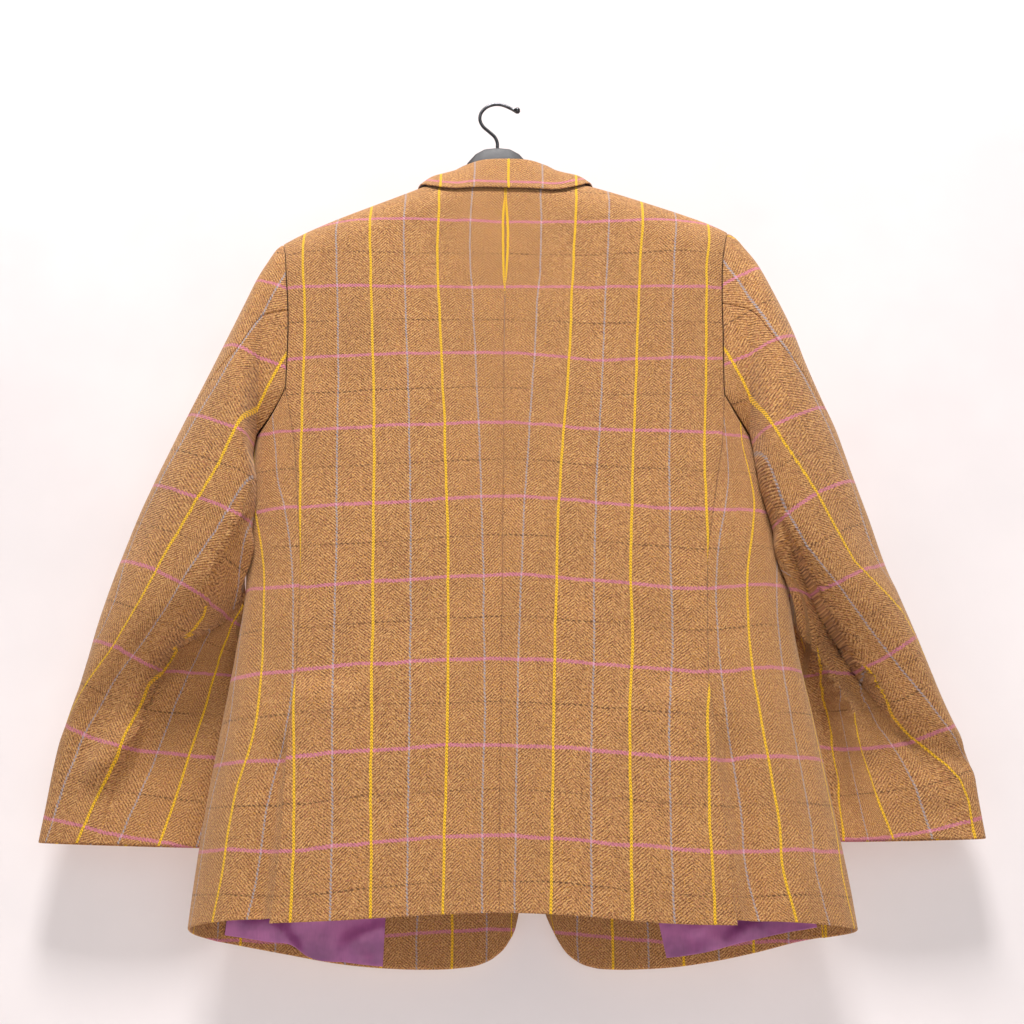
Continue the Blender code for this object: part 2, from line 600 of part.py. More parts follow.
def side_grid(side):
    """The side panel with the vent's underlap in the columns before share 0."""
    underlap = np.linspace(-1, 0, UNDERLAP_COLUMNS + 1)[:-1]
    shares = np.concatenate([underlap, np.linspace(0, 1, SIDE_COLUMNS + 1)])
    back_bottom = float(back_hem(back_edge_x(HEM_LEVEL, side)))
    front_bottom = float(front_hem(front_outer_x(HEM_LEVEL, side), side))
    points = np.zeros((BODY_ROWS + 1, len(shares), 3))
    normals = np.zeros_like(points)
    for j, share in enumerate(shares):
        top = float(read(UNDERARM, "share", side + "_z", share))
        bottom = back_bottom + (front_bottom - back_bottom) * max(share, 0) ** SIDE_HEM_CURVE
        for i, down in enumerate(np.linspace(0, 1, BODY_ROWS + 1)):
            z = top + down * (bottom - top)
            z += SIDE_HEM_RISE * (1 - max(share, 0)) * float(ramp((VENT_TOP[side] - z) / SIDE_RISE_RUN))
            points[i, j] = girth_point(z, side, share)
            normals[i, j] = girth_normal(z, side, share)
    height = fold_height(points, SIDE_FOLDS[side]) * (shares > -0.01)[None, :]
    points = points + normals * height[..., None]
    keep = np.ones((BODY_ROWS, len(shares) - 1), bool)
    lower_corners = points[:-1, 1:UNDERLAP_COLUMNS + 1, 2]
    keep[:, :UNDERLAP_COLUMNS] = lower_corners < VENT_TOP[side] - UNDERLAP_START
    return points, normals, keep


# ---------------------------------------------------------------- sleeves
def above_lap(x, z, side):
    """1 on the upper sleeve's side of the elbow's lap line, 0 on the forearm's side."""
    line = np.stack([column(ELBOW_LAP[side], "x"), column(ELBOW_LAP[side], "z")], axis=-1)
    place = np.stack([x, z], axis=-1)[:, None, :]
    start, run = line[:-1], np.diff(line, axis=0)
    offset = place - start
    along = np.clip(np.sum(offset * run, axis=-1) / np.sum(run * run, axis=-1), 0, 1)
    away = np.linalg.norm(offset - along[..., None] * run, axis=-1)
    nearest = np.argmin(away, axis=1)
    rows = np.arange(len(nearest))
    cross = run[nearest, 0] * offset[rows, nearest, 1] - run[nearest, 1] * offset[rows, nearest, 0]
    signed = np.sign(cross) * SIDES[side] * away[rows, nearest]
    return ramp(0.5 + signed / (2 * LAP_SOFTNESS))


def section_ring(section, side):
    """One closed sleeve section, from its outer end over the back.

    Also gives each point's place as a part of the girth, and the place of the elbow's lap or None.
    """
    turn = np.linspace(0, 2 * math.pi, RING_SAMPLES + 1)
    power = 2 / SLEEVE_SQUARENESS
    along = np.sign(np.cos(turn)) * np.abs(np.cos(turn)) ** power
    swing = np.sign(np.sin(turn)) * np.abs(np.sin(turn)) ** power
    inward = (1 - along) / 2
    x = section.outer_x + (section.inner_x - section.outer_x) * inward
    z = section.outer_z + (section.inner_z - section.outer_z) * inward
    middle_y = section.outer_y + (section.inner_y - section.outer_y) * inward
    over = above_lap(x, z, side)
    back_depth = section.under_depth + (section.over_depth - section.under_depth) * over
    depth = np.where(swing > 0, back_depth, section.front_depth)
    points = np.stack([x, middle_y + depth * swing, z], axis=-1)
    lengths = np.concatenate([[0], np.cumsum(np.linalg.norm(np.diff(points, axis=0), axis=1))])
    places = lengths / lengths[-1]
    back = over[:RING_SAMPLES // 2]
    crossings = np.nonzero((back[:-1] >= 0.5) & (back[1:] < 0.5))[0]
    lap = float(places[crossings[0]]) if len(crossings) else None
    return points, places, lap


def sleeve_places(sections, rings, columns, count):
    """Places round the girth of all columns in all sections, below the armhole.

    The seams, the inner end and both sides of the elbow's lap keep their own columns.
    """
    elbow, lap, tip, wrist = columns
    found = []
    for number, section in enumerate(sections):
        if rings[number][2] and section.over_depth - section.under_depth > LAP_STEP:
            found.append((number, rings[number][2]))
    first = HEAD_SECTIONS
    seam = sections[first].elbow_seam
    even = seam + (0.5 - seam) * (lap + 0.5 - elbow) / (tip - elbow)
    numbers = [first] + [number for number, _ in found]
    lap_places = [even] + [place for _, place in found]
    rows = []
    for number, section in enumerate(sections):
        place = float(np.interp(number, numbers, lap_places))
        place = min(max(place, section.elbow_seam + LAP_MARGIN), 0.5 - LAP_MARGIN)
        knots = [elbow, lap, lap + 1, tip, wrist, count + elbow]
        shares = [section.elbow_seam, place - LAP_WIDTH, place + LAP_WIDTH, 0.5, section.wrist_seam,
                  1 + section.elbow_seam]
        around = np.arange(elbow, count + elbow)
        rows.append(np.roll(np.interp(around, knots, shares), elbow))
    return rows


def armhole_loop(side, back, front, side_panel):
    """The armhole's edge from the shoulder down the back, under the arm and up the front."""
    back_points, back_normals = back
    front_points, front_normals = front
    side_points, side_normals = side_panel[:2]
    rows, seam = ARMHOLE_ROWS, UNDERLAP_COLUMNS
    loop = np.concatenate([
        back_points[:rows + 1, -1], side_points[0, seam + 1:-1], front_points[rows:0:-1, -1]])
    normals = np.concatenate([
        back_normals[:rows + 1, -1], side_normals[0, seam + 1:-1], front_normals[rows:0:-1, -1]])
    return loop, normals


def clear_of_body(points, side):
    """Press the sleeve flat where it rests against the side of the body."""
    size = ring(points[..., 2])
    half = size["half_left"] if side == "left" else size["half_right"]
    off = points[..., 1] - size["middle_y"]
    depth = np.where(off > 0, size["back_depth"], size["front_depth"])
    level = np.clip(np.abs(off) / depth, 0, 1)
    body_x = size["centre_x"] + SIDES[side] * half * (1 - level**SQUARENESS) ** (1 / SQUARENESS)
    low = points[..., 2] < UNDERARM_LEVEL
    inside = np.maximum(SIDES[side] * (body_x - points[..., 0]) + SLEEVE_CLEARANCE, 0) * low
    pressed = points.copy()
    pressed[..., 0] += SIDES[side] * inside
    return pressed


def sleeve_grid(side, loop, loop_normals):
    """Closed grid of the sleeve: row 0 is the armhole, each column runs down to the cuff.

    Column 0 starts at the shoulder point; elbow_column and wrist_column carry the two seams.
    """
    count = len(loop)
    girth = np.linalg.norm(np.diff(np.concatenate([loop, loop[:1]]), axis=0), axis=1)
    loop_places = np.concatenate([[0], np.cumsum(girth)[:-1]]) / girth.sum()
    sections = SLEEVES[side]
    rings = [section_ring(section, side) for section in sections]
    elbow_column = int(np.argmin(np.abs(loop_places - sections[0].elbow_seam)))
    wrist_column = int(np.argmin(np.abs(loop_places - sections[0].wrist_seam)))
    tip_column = int(np.argmin(np.abs(loop_places - 0.5)))
    lap_column = tip_column - LAP_TO_TIP_COLUMNS
    columns = (elbow_column, lap_column, tip_column, wrist_column)
    start = loop_places + (np.arange(count) < elbow_column)
    rows = []
    for number, even in enumerate(sleeve_places(sections, rings, columns, count)):
        blend = ramp(number / HEAD_SECTIONS)
        places = np.mod(start * (1 - blend) + even * blend, 1.0)
        ring_points, lengths, _ = rings[number]
        row = [np.interp(places, lengths, ring_points[:, axis]) for axis in range(3)]
        rows.append(np.stack(row, axis=-1))
    points = np.stack(rows)
    hollow = points.mean(axis=1, keepdims=True)
    lengthwise = np.gradient(points, axis=0)
    around = np.roll(points, -1, axis=1) - np.roll(points, 1, axis=1)
    normals = unit(np.cross(around, lengthwise))
    facing = np.sign(np.sum(normals * (points - hollow), axis=(0, 1, 2)))
    normals = normals * facing
    height = fold_height(points, SLEEVE_FOLDS[side], only_back=False)
    height = height * ((points[..., 1] - hollow[..., 1]) > 2)
    points = clear_of_body(points + normals * height[..., None], side)

    under_arm = ramp((ARMPIT_START - loop[:, 2]) / ARMPIT_RUN)[:, None]
    first_normals = unit(loop_normals * (1 - under_arm) + normals[0] * under_arm)
    away = unit(points[0] - loop)
    along_cloth = away - np.sum(away * loop_normals, axis=1, keepdims=True) * loop_normals
    first = loop + unit(along_cloth) * SEAM_GAP * 0.6 + loop_normals * under_arm * ARMPIT_OUT
    first = first + np.array([0, 0, ARMPIT_UP]) * under_arm
    points = np.concatenate([first[None], points])
    normals = np.concatenate([first_normals[None], normals])
    return points, normals, elbow_column, wrist_column


def split_sleeve(grid, elbow_column, wrist_column):
    """The top sleeve and the under sleeve of a closed grid."""
    count = grid.shape[1]
    top = [k % count for k in range(wrist_column, count + elbow_column + 1)]
    under = list(range(elbow_column, wrist_column + 1))
    return grid[:, top], grid[:, under]


# ---------------------------------------------------------------- walls
def inset(points, gap, sides):
    """Draw the named edges of a grid back into the piece by half a seam's gap."""
    points = points.copy()
    edges = {"top": (0, 1), "bottom": (-1, -2)}
    for name in ("top", "bottom"):
        if name in sides:
            here, inner = edges[name]
            points[here] += unit(points[inner] - points[here]) * gap
    edges = {"first": (0, 1), "last": (-1, -2)}
    for name in ("first", "last"):
        if name in sides:
            here, inner = edges[name]
            points[:, here] += unit(points[:, inner] - points[:, here]) * gap
    return points


def make_object(name, mesh, slot, collection):
    item = bpy.data.objects.new(name, mesh)
    item.data.materials.append(material(slot))
    collection.objects.link(item)
    return item


def shorter_split(square, points):
    """The two triangles of a square of corners, cut along its shorter diagonal."""
    a, b, c, d = square
    if np.linalg.norm(points[a] - points[c]) <= np.linalg.norm(points[b] - points[d]):
        return (a, b, c), (a, c, d)
    return (b, c, d), (b, d, a)


def wall(name, slot, collection, outer, normals, thickness, keep=None):
    """A piece of cloth: a grid of outer points, the same points moved in, and rims between."""
    rows, cols = outer.shape[:2]
    layers = np.stack([outer, outer - normals * thickness])
    if keep is None:
        keep = np.ones((rows - 1, cols - 1), bool)
    mesh = bmesh.new()
    made = {}

    def corner(place):
        if place not in made:
            made[place] = mesh.verts.new(Vector(layers[place] * METRES))
        return made[place]

    def kept(i, j):
        return 0 <= i < rows - 1 and 0 <= j < cols - 1 and keep[i, j]

    for i in range(rows - 1):
        for j in range(cols - 1):
            if not keep[i, j]:
                continue
            square = ((0, i, j), (0, i, j + 1), (0, i + 1, j + 1), (0, i + 1, j))
            for triangle in shorter_split(square, layers):
                mesh.faces.new([corner(place) for place in triangle])
                mesh.faces.new([corner((1, *place[1:])) for place in reversed(triangle)])
            beyond = ((i - 1, j), (i, j + 1), (i + 1, j), (i, j - 1))
            for edge, other in enumerate(beyond):
                if kept(*other):
                    continue
                start, end = square[edge], square[(edge + 1) % 4]
                rim = (end, start, (1, *start[1:]), (1, *end[1:]))
                for triangle in shorter_split(rim, layers):
                    mesh.faces.new([corner(place) for place in triangle])
    bmesh.ops.recalc_face_normals(mesh, faces=mesh.faces)
    data = bpy.data.meshes.new(name)
    mesh.to_mesh(data)
    mesh.free()
    data.shade_smooth()
    data.set_sharp_from_angle(angle=math.radians(40))
    return make_object(name, data, slot, collection)


# ---------------------------------------------------------------- the pieces
def build_body(collection):
    """Back, side and front panels of both sides; returns their grids."""
    half_gap = SEAM_GAP / 2
    grids = {}
    for side in SIDES:
        back, front, panel = back_grid(side), front_grid(side), side_grid(side)
        grids[side] = {"back": back, "front": front, "side": panel}
        points = inset(back[0], half_gap, ("first", "last", "top"))
        wall("back_" + side, "tweed", collection, points, back[1], CLOTH)
        points = inset(front[0], half_gap, ("last", "top"))
        wall("front_" + side, "tweed", collection, points, front[1], CLOTH)
        points = inset(panel[0], half_gap, ("last", "top"))
        seam = UNDERLAP_COLUMNS
        above_vent = points[:, seam, 2] > VENT_TOP[side] - UNDERLAP_START
        step = unit(points[:, seam + 1] - points[:, seam]) * half_gap
        points[:, seam] += step * above_vent[:, None]
        wall("side_" + side, "tweed", collection, points, panel[1], CLOTH, panel[2])
    return grids


def build_sleeves(collection, grids):
    half_gap = SEAM_GAP / 2
    for side in SIDES:
        loop, normals = armhole_loop(side, grids[side]["back"], grids[side]["front"], grids[side]["side"])
        points, normals, elbow, wrist = sleeve_grid(side, loop, normals)
        top, under = split_sleeve(points, elbow, wrist)
        top_normals, under_normals = split_sleeve(normals, elbow, wrist)
        for kind, cut, inward in (("top", top, top_normals), ("under", under, under_normals)):
            cut = inset(cut, half_gap, ("first", "last"))
            wall("sleeve_%s_%s" % (side, kind), "tweed", collection, cut, inward, CLOTH)


def build_facings(collection, grids):
    """Inside the fronts below the lapels: the tweed facing, and the lining beside it."""
    for side in SIDES:
        points, normals = grids[side]["front"]
        inside = points - normals * (CLOTH + FACING_GAP)
        rows = slice(FACING_START_ROW, None)
        facing = inside[rows, :FACING_COLUMNS + 1]
        facing = inset(facing, FACING_INSET, ("first", "bottom"))
        inward = normals[rows, :FACING_COLUMNS + 1]
        wall("facing_" + side, "tweed", collection, facing, inward, LINING_CLOTH)
        lining = inset(inside[rows, FACING_COLUMNS:], SEAM_GAP, ("first",))
        lining = inset(lining, LINING_SIDE_INSET, ("last",))
        lining = inset(lining, LINING_HEM_INSET, ("bottom",))
        inward = normals[rows, FACING_COLUMNS:]
        wall("lining_" + side, "lining", collection, lining, inward, LINING_CLOTH)


def collar_section(row, direction):
    """Centre line of the folded collar at one section, from its tucked root over to its edge."""
    def over_body(offset, drop, height):
        x = CENTRE_X + direction * offset
        return drape(x, drop, row.face) + drape_normal(x, drop, row.face) * height

    tuck = over_body(row.tuck_offset, row.tuck_drop, -COLLAR_INSIDE)
    root = over_body(row.root_offset, row.root_drop, -COLLAR_INSIDE)
    edge = over_body(row.edge_offset, row.edge_drop, COLLAR_OVER)
    fold = np.array([CENTRE_X + direction * row.fold_offset, row.fold_y, row.fold_z])
    outward = unit((edge - root) * np.array([1, 1, 0])) * COLLAR_ROLL
    below = fold - np.array([0, 0, COLLAR_ROLL])
    bowed = (below + outward + edge) / 2 + unit(outward + np.array([0, 0, COLLAR_ROLL])) * row.bow
    return np.stack([
        tuck, root, (root + below - outward) / 2, below - outward, fold,
        below + outward, bowed, edge])


def build_collar(collection):
    sections = [collar_section(row, -1.0) for row in reversed(COLLAR)]
    sections += [collar_section(row, 1.0) for row in COLLAR[1:]]
    middle = np.stack(sections)
    normals = unit(np.cross(np.gradient(middle, axis=0), np.gradient(middle, axis=1)))
    if normals[len(sections) // 2, -2, 1] < 0:
        normals = -normals
    wall("collar", "tweed", collection, middle + normals * CLOTH / 2, normals, CLOTH)


def build_lapels(collection):
    across = np.array([0, 0.34, 0.67, 1.0])
    down = np.linspace(0, 1, 11)
    for side, direction in SIDES.items():
        reach = read(LAPEL_SHAPE, "share", "reach", down)
        top = LAPEL_TOP_INNER + across * (LAPEL_TOP_OUTER - LAPEL_TOP_INNER)
        z = top[None, :] + down[:, None] * (LAPEL_BOTTOM[side] - top)[None, :]
        x = roll_line_x(z, side) + direction * (across[None, :] * reach[:, None] + LAPEL_OUTSET)
        soft_roll = LAPEL_ROLL_LIFT * (1 - across) ** 2
        lift = CLOTH + LAYER_GAP + soft_roll[None, :] + np.zeros_like(z)
        points, normals = front_point(x, drop_at(x, z), side, lift)
        wall("lapel_" + side, "tweed", collection, points, normals, CLOTH)


def build_flaps(collection):
    """Slanted pocket flaps that lie on the fronts."""
    across = np.linspace(-0.5, 0.5, 8) * FLAP_LENGTH
    down = np.linspace(0, 1, 4) * FLAP_DEPTH
    slant = math.radians(FLAP_SLANT)
    for side, direction in SIDES.items():
        centre_x, centre_z = FLAP_CENTRE[side]
        u, v = np.meshgrid(across, down)
        x = centre_x + direction * (u * math.cos(slant) - v * math.sin(slant) * 0.4)
        z = centre_z - u * math.sin(slant) - v
        points, normals = front_point(x, drop_at(x, z), side, CLOTH + LAYER_GAP)
        wall("flap_" + side, "tweed", collection, points, normals, CLOTH)


def build_buttons(collection):
    """Turned buttons with a raised rim, in a row down the left front."""
    radius = BUTTON_DIAMETER / 2
    profile = (
        (0.0, BUTTON_THICKNESS * 0.62), (radius * 0.66, BUTTON_THICKNESS * 0.62),
        (radius * 0.8, BUTTON_THICKNESS), (radius * 0.94, BUTTON_THICKNESS),
        (radius, BUTTON_THICKNESS * 0.55), (radius * 0.8, 0.0), (0.0, 0.0))
    for number, height in enumerate(BUTTON_HEIGHTS, start=1):
        name = "button_%d" % number
        outline = bpy.data.meshes.new(name)
        corners = [(out * METRES, 0.0, up * METRES) for out, up in profile]
        outline.from_pydata(corners, [(i, i + 1) for i in range(len(corners) - 1)], [])
        item = make_object(name, outline, "button", collection)
        turn = item.modifiers.new("Turn", "SCREW")
        turn.steps = turn.render_steps = 18
        turn.use_merge_vertices = True
        turn.merge_threshold = 0.00005
        turn.use_normal_calculate = True
        x = np.array([CENTRE_X])
        points, normals = front_point(x, drop_at(x, height), "left", 0.9)
        facing = Vector(normals[0]).to_track_quat("Z", "Y")
        item.matrix_world = Matrix.Translation(Vector(points[0] * METRES)) @ facing.to_matrix().to_4x4()


# ---------------------------------------------------------------- the hanger
def hanger_sections():
    """Sections of the hanger from its right end to its left end: x, top, bottom, half thickness."""
    sections = []
    for direction in (-1.0, 1.0):
        arm = []
        for row in HANGER_HUMP:
            arm.append((direction * row.offset, row.top, row.bottom, row.half_thickness))
        tip = HANGER_ARM_OFFSETS[-1]
        for offset in HANGER_ARM_OFFSETS:
            x = CENTRE_X + direction * offset
            far = (offset - HANGER_ARM_OFFSETS[0]) / (tip - HANGER_ARM_OFFSETS[0])
            half = HANGER_HUMP[-1].half_thickness + HANGER_ARM_FLARE * far
            slope = abs(float(ridge(x + 1) - ridge(x - 1))) / 2
            top = float(ridge(x)) - (CLOTH + HANGER_CLEARANCE) * math.hypot(1, slope)
            if offset == HANGER_ARM_OFFSETS[0]:
                top -= HANGER_NECK_DIP
            arm.append((x, top, top - HANGER_ARM_HEIGHT + HANGER_TIP_TAPER * far, half))
        sections.append(arm)
    return sections[0][::-1] + sections[1][1:]


def section_outline(top, bottom, half):
    """Rounded outline across the hanger; its top falls away to both sides like the shoulder."""
    side = (top - bottom) * HANGER_CORNER
    shelf = half * HANGER_SHELF
    fall = shelf * HANGER_FALL
    return (
        (0.0, top), (shelf, top - fall), (half, top - fall - side), (half, bottom + side),
        (shelf, bottom), (-shelf, bottom), (-half, bottom + side), (-half, top - fall - side),
        (-shelf, top - fall))


def build_hanger(collection):
    """The shaped hanger inside the shoulders, with a hump at the neck that takes the hook."""
    mesh = bmesh.new()
    loops = []
    for x, top, bottom, half in hanger_sections():
        outline = section_outline(top, bottom, half)
        loops.append([mesh.verts.new((x * METRES, y * METRES, z * METRES)) for y, z in outline])
    for one, other in zip(loops, loops[1:]):
        for k in range(len(one)):
            after = (k + 1) % len(one)
            mesh.faces.new((one[k], one[after], other[after], other[k]))
    mesh.faces.new(loops[0])
    mesh.faces.new(loops[-1][::-1])
    bmesh.ops.recalc_face_normals(mesh, faces=mesh.faces)
    data = bpy.data.meshes.new("hanger_body")
    mesh.to_mesh(data)
    mesh.free()
    data.shade_smooth()
    data.set_sharp_from_angle(angle=math.radians(40))
    make_object("hanger_body", data, "hanger", collection)


def build_hook(collection):
    """Bent wire with a ball on its end."""
    steps = np.arange(len(HOOK), dtype=float)
    fine = np.linspace(0, len(HOOK) - 1, 2 * len(HOOK) - 1)
    path = bpy.data.curves.new("hanger_hook", "CURVE")
    path.dimensions = "3D"
    path.bevel_depth = HOOK_WIRE / 2 * METRES
    path.bevel_resolution = 2
    path.use_fill_caps = True
    line = path.splines.new("POLY")
    line.points.add(len(fine) - 1)
    for point, at in zip(line.points, fine):
        x = float(curve(steps, column(HOOK, "x"), at))
        z = float(curve(steps, column(HOOK, "z"), at))
        point.co = (x * METRES, 0.0, z * METRES, 1.0)
        point.radius = float(curve(steps, column(HOOK, "thickness"), at))
    make_object("hanger_hook", path, "hook", collection)


# ---------------------------------------------------------------- materials and assembly
def material(slot):
    found = bpy.data.materials.get(slot)
    if found:
        return found
    made = bpy.data.materials.new(slot)
    made.use_nodes = True
    shader = made.node_tree.nodes["Principled BSDF"]
    shader.inputs["Base Color"].default_value = (*COLOURS[slot], 1.0)
    shader.inputs["Roughness"].default_value = ROUGHNESS[slot]
    shader.inputs["Metallic"].default_value = METALLIC.get(slot, 0.0)
    return made


def main():
    for item in list(bpy.data.objects):
        bpy.data.objects.remove(item, do_unlink=True)
    collection = bpy.data.collections.new("tweed_hacking_jacket")
    bpy.context.scene.collection.children.link(collection)
    grids = build_body(collection)
    build_sleeves(collection, grids)
    build_facings(collection, grids)
    build_collar(collection)
    build_lapels(collection)
    build_flaps(collection)
    build_buttons(collection)
    build_hanger(collection)
    build_hook(collection)


main()
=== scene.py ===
"""Looks of a tweed hacking jacket that hangs on a shaped hanger.

The file is laid out as a Blender add-on and run as a script.  World axes: +Z up, +Y the back of
the jacket, +X the wearer's left, and the origin where the hanger's hook bears.  Sizes in the tables
are in millimetres and are turned into metres when a mesh is made; those in the property groups are
in metres.

The body is one draped surface: a table of horizontal rings gives its width and depth at each
height, and the shoulders roll over a ridge line.  Each cut piece is a stretch of that surface with
its own wall, seams, creases and cloth pattern.  A sleeve is a loft of sections along the arm.
"""

import math
from collections import namedtuple
from functools import lru_cache

import bmesh
import bpy
import numpy as np
from bpy.props import FloatProperty, FloatVectorProperty, PointerProperty
from mathutils import Matrix, Vector


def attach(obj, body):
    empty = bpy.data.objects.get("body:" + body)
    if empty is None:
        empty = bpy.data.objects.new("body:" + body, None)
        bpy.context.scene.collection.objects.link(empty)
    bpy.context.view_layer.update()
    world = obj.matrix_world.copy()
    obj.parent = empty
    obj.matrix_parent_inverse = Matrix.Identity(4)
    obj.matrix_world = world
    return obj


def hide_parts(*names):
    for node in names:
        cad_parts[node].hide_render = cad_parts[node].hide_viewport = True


bl_info = {
    "name": "Tweed Hacking Jacket",
    "version": (1, 0, 0),
    "blender": (4, 5, 0),
    "location": "3D View > Sidebar > Jacket",
    "description": "Builds the cloth, lining, buttons and hanger of a tweed hacking jacket",
    "category": "Object",
}

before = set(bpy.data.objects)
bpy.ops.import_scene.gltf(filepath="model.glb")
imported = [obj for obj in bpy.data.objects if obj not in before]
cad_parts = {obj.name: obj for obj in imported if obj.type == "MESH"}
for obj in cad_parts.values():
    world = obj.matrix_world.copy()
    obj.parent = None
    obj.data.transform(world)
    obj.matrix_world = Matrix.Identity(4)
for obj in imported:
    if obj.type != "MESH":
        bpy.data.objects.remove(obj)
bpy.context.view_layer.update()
METRES = 0.001


# ---------------------------------------------------------------- driving sizes
CLOTH = 2.0                # thickness of the tweed with its canvas
LINING_CLOTH = 1.2         # thickness of the lining
LAYER_GAP = 1.0            # under a piece that lies on a curved panel
SQUARENESS = 2.5           # of the body's horizontal rings
SLEEVE_SQUARENESS = 2.5
CENTRE_X = -9.0            # middle of the neck
SHOULDER_SEAM_Y = 0.0
ROLL_HEIGHT = 55.0         # how far below the ridge the shoulder has rolled over
NECK_HALF = 71.0           # from the middle of the neck to the neck point of the shoulder seam
BACK_NECK_DROP = 68.0      # centre back neck, measured down over the roll
LAPEL_BREAK_Z = -430.0     # where the front edges stop being folded back
NECK_POINT_Z = -102.0
VENT_UNDERLAP = 38.0
VENT_LIFT = 5.0            # how far the back lies over the underlap
VENT_FADE = 60.0
VENT_MARGIN = 4.0          # by which that lift runs on past the underlap
VENT_RUN = 24.0            # length over which the vent opens at its top
UNDERLAP_START = 16.0      # below the vent's top
HEM_LEVEL = -890.0         # about where the panels' edges reach the hem
SIDE_HEM_RISE = 5.0        # at the vent the side panel ends above the back
SIDE_RISE_RUN = 200.0
SIDE_HEM_CURVE = 2.2       # how late its hem drops to that of the front
FRONT_LAP_LIFT = 5.2       # the left front lies over the right one
FRONT_LAP = 42.0
FRONT_FADE = 60.0
FRONT_LAP_TOP = -325.0
FRONT_LAP_RUN = 40.0
ARMHOLE_LEAD = 45.0
FRONT_SEAM_REACH = 0.93    # the side seam of the front, as a part of the ring's half width
SLEEVE_CLEARANCE = 4.0     # between the sleeve and the side of the body it hangs against
UNDERARM_LEVEL = -356.0
ARMPIT_START = -352.0
ARMPIT_RUN = 34.0
ARMPIT_OUT = 0.8           # the sleeve's seam under the arm lies a little outside the panel's
ARMPIT_UP = 0.6
FACING_GAP = 0.4           # between the front and what is sewn inside it
FACING_INSET = 1.5         # from the front's edge
COLLAR_ROLL = 2.4          # radius of the collar's fold
LAPEL_ROLL_LIFT = 2.0      # how much higher the lapel lies at its fold
LAPEL_OUTSET = 1.0         # its fold stands off the fold line of the front
LAPEL_FOLD_BOW = 7.0       # how far its fold bows outwards between the neck and the break
HEAD_SWELL = 1.5           # how far the sleeve's head swells over the armhole's seam
FREE_EDGE_REACH = 0.75     # a free edge is rounded over this part of the cloth's thickness
FREE_EDGE_TURN = 0.42      # and each face turns in by this part of it
SHARP_ANGLE = 50           # degrees above which an edge of the cloth stays sharp
BUTTON_DIAMETER = 22.0
BUTTON_THICKNESS = 4.0
BUTTON_HEIGHTS = (-430.0, -535.0, -640.0)
HOOK_WIRE = 3.8


# ---------------------------------------------------------------- tables
# Body rings: half widths to the left and right of centre_x, depths behind and before middle_y.
Ring = namedtuple("Ring", "z centre_x half_left half_right middle_y back_depth front_depth")
BODY_RINGS = (
    Ring(-930, -5, 297, 341, 13, 83, 76),
    Ring(-850, -5, 291, 332, 12, 80, 74),
    Ring(-770, -5, 283, 320, 10, 76, 72),
    Ring(-690, -6, 273, 306, 9, 72, 70),
    Ring(-620, -6, 264, 294, 8, 68, 68),
    Ring(-560, -7, 259, 287, 7, 66, 67),
    Ring(-500, -7, 263, 280, 6, 64, 66),
    Ring(-450, -8, 263, 270, 5, 62, 66),
    Ring(-400, -8, 259, 258, 5, 60, 66),
    Ring(-340, -8, 259, 261, 4, 58, 66),
    Ring(-250, -9, 262, 262, 4, 56, 64),
    Ring(-80, -9, 262, 262, 4, 50, 58),
)

# Ridge of the shoulders, seen from behind.  Between the neck points it is only the roll's guide.
Ridge = namedtuple("Ridge", "x z")
RIDGE = (
    Ridge(-275, -175), Ridge(-251, -160), Ridge(-234, -152), Ridge(-205, -141.5),
    Ridge(-163, -127.5), Ridge(-120, -113.5), Ridge(-84, -103), Ridge(-45, -92), Ridge(-9, -88),
    Ridge(30, -91), Ridge(66, -103), Ridge(105, -119), Ridge(140, -133), Ridge(175, -147),
    Ridge(210, -162.5), Ridge(232, -174), Ridge(255, -187),
)

# Edges of the back and of the front at the armhole, down to the top of the side panel.
Armhole = namedtuple("Armhole", "z back_x front_x")
ARMHOLE = {
    "left": (
        Armhole(-354, 217, 227.1), Armhole(-330, 217, 216), Armhole(-300, 217, 209),
        Armhole(-262, 218.5, 207), Armhole(-227, 222, 211), Armhole(-195, 226, 220),
        Armhole(-174, 232, 232),
    ),
    "right": (
        Armhole(-360, -234.7, -242.8), Armhole(-330, -235, -232), Armhole(-300, -236, -226),
        Armhole(-246, -237, -223), Armhole(-205, -240, -230), Armhole(-176, -246, -241),
        Armhole(-160, -251, -251),
    ),
}
# Lower curve of the armhole along the top of the side panel, from the back seam to the front seam.
Underarm = namedtuple("Underarm", "share left_z right_z")
UNDERARM = (
    Underarm(0, -354, -360), Underarm(0.18, -376, -382), Underarm(0.36, -393, -398),
    Underarm(0.56, -400, -404), Underarm(0.8, -386, -390), Underarm(1, -354, -360),
)

# Seam between back and side panel, and below the vent's top the edge of the back.
SideSeam = namedtuple("SideSeam", "z left_x right_x")
SIDE_SEAM = (
    SideSeam(-930, 204, -221), SideSeam(-886, 202, -218.5), SideSeam(-814, 196.5, -213),
    SideSeam(-737, 195, -207.5), SideSeam(-675, 191.6, -204.5), SideSeam(-600, 191.5, -206),
    SideSeam(-539, 193, -209), SideSeam(-465, 199.5, -221), SideSeam(-400, 207.5, -232),
    SideSeam(-356, 217, -235),
)
VENT_TOP = {"left": -653.0, "right": -659.0}

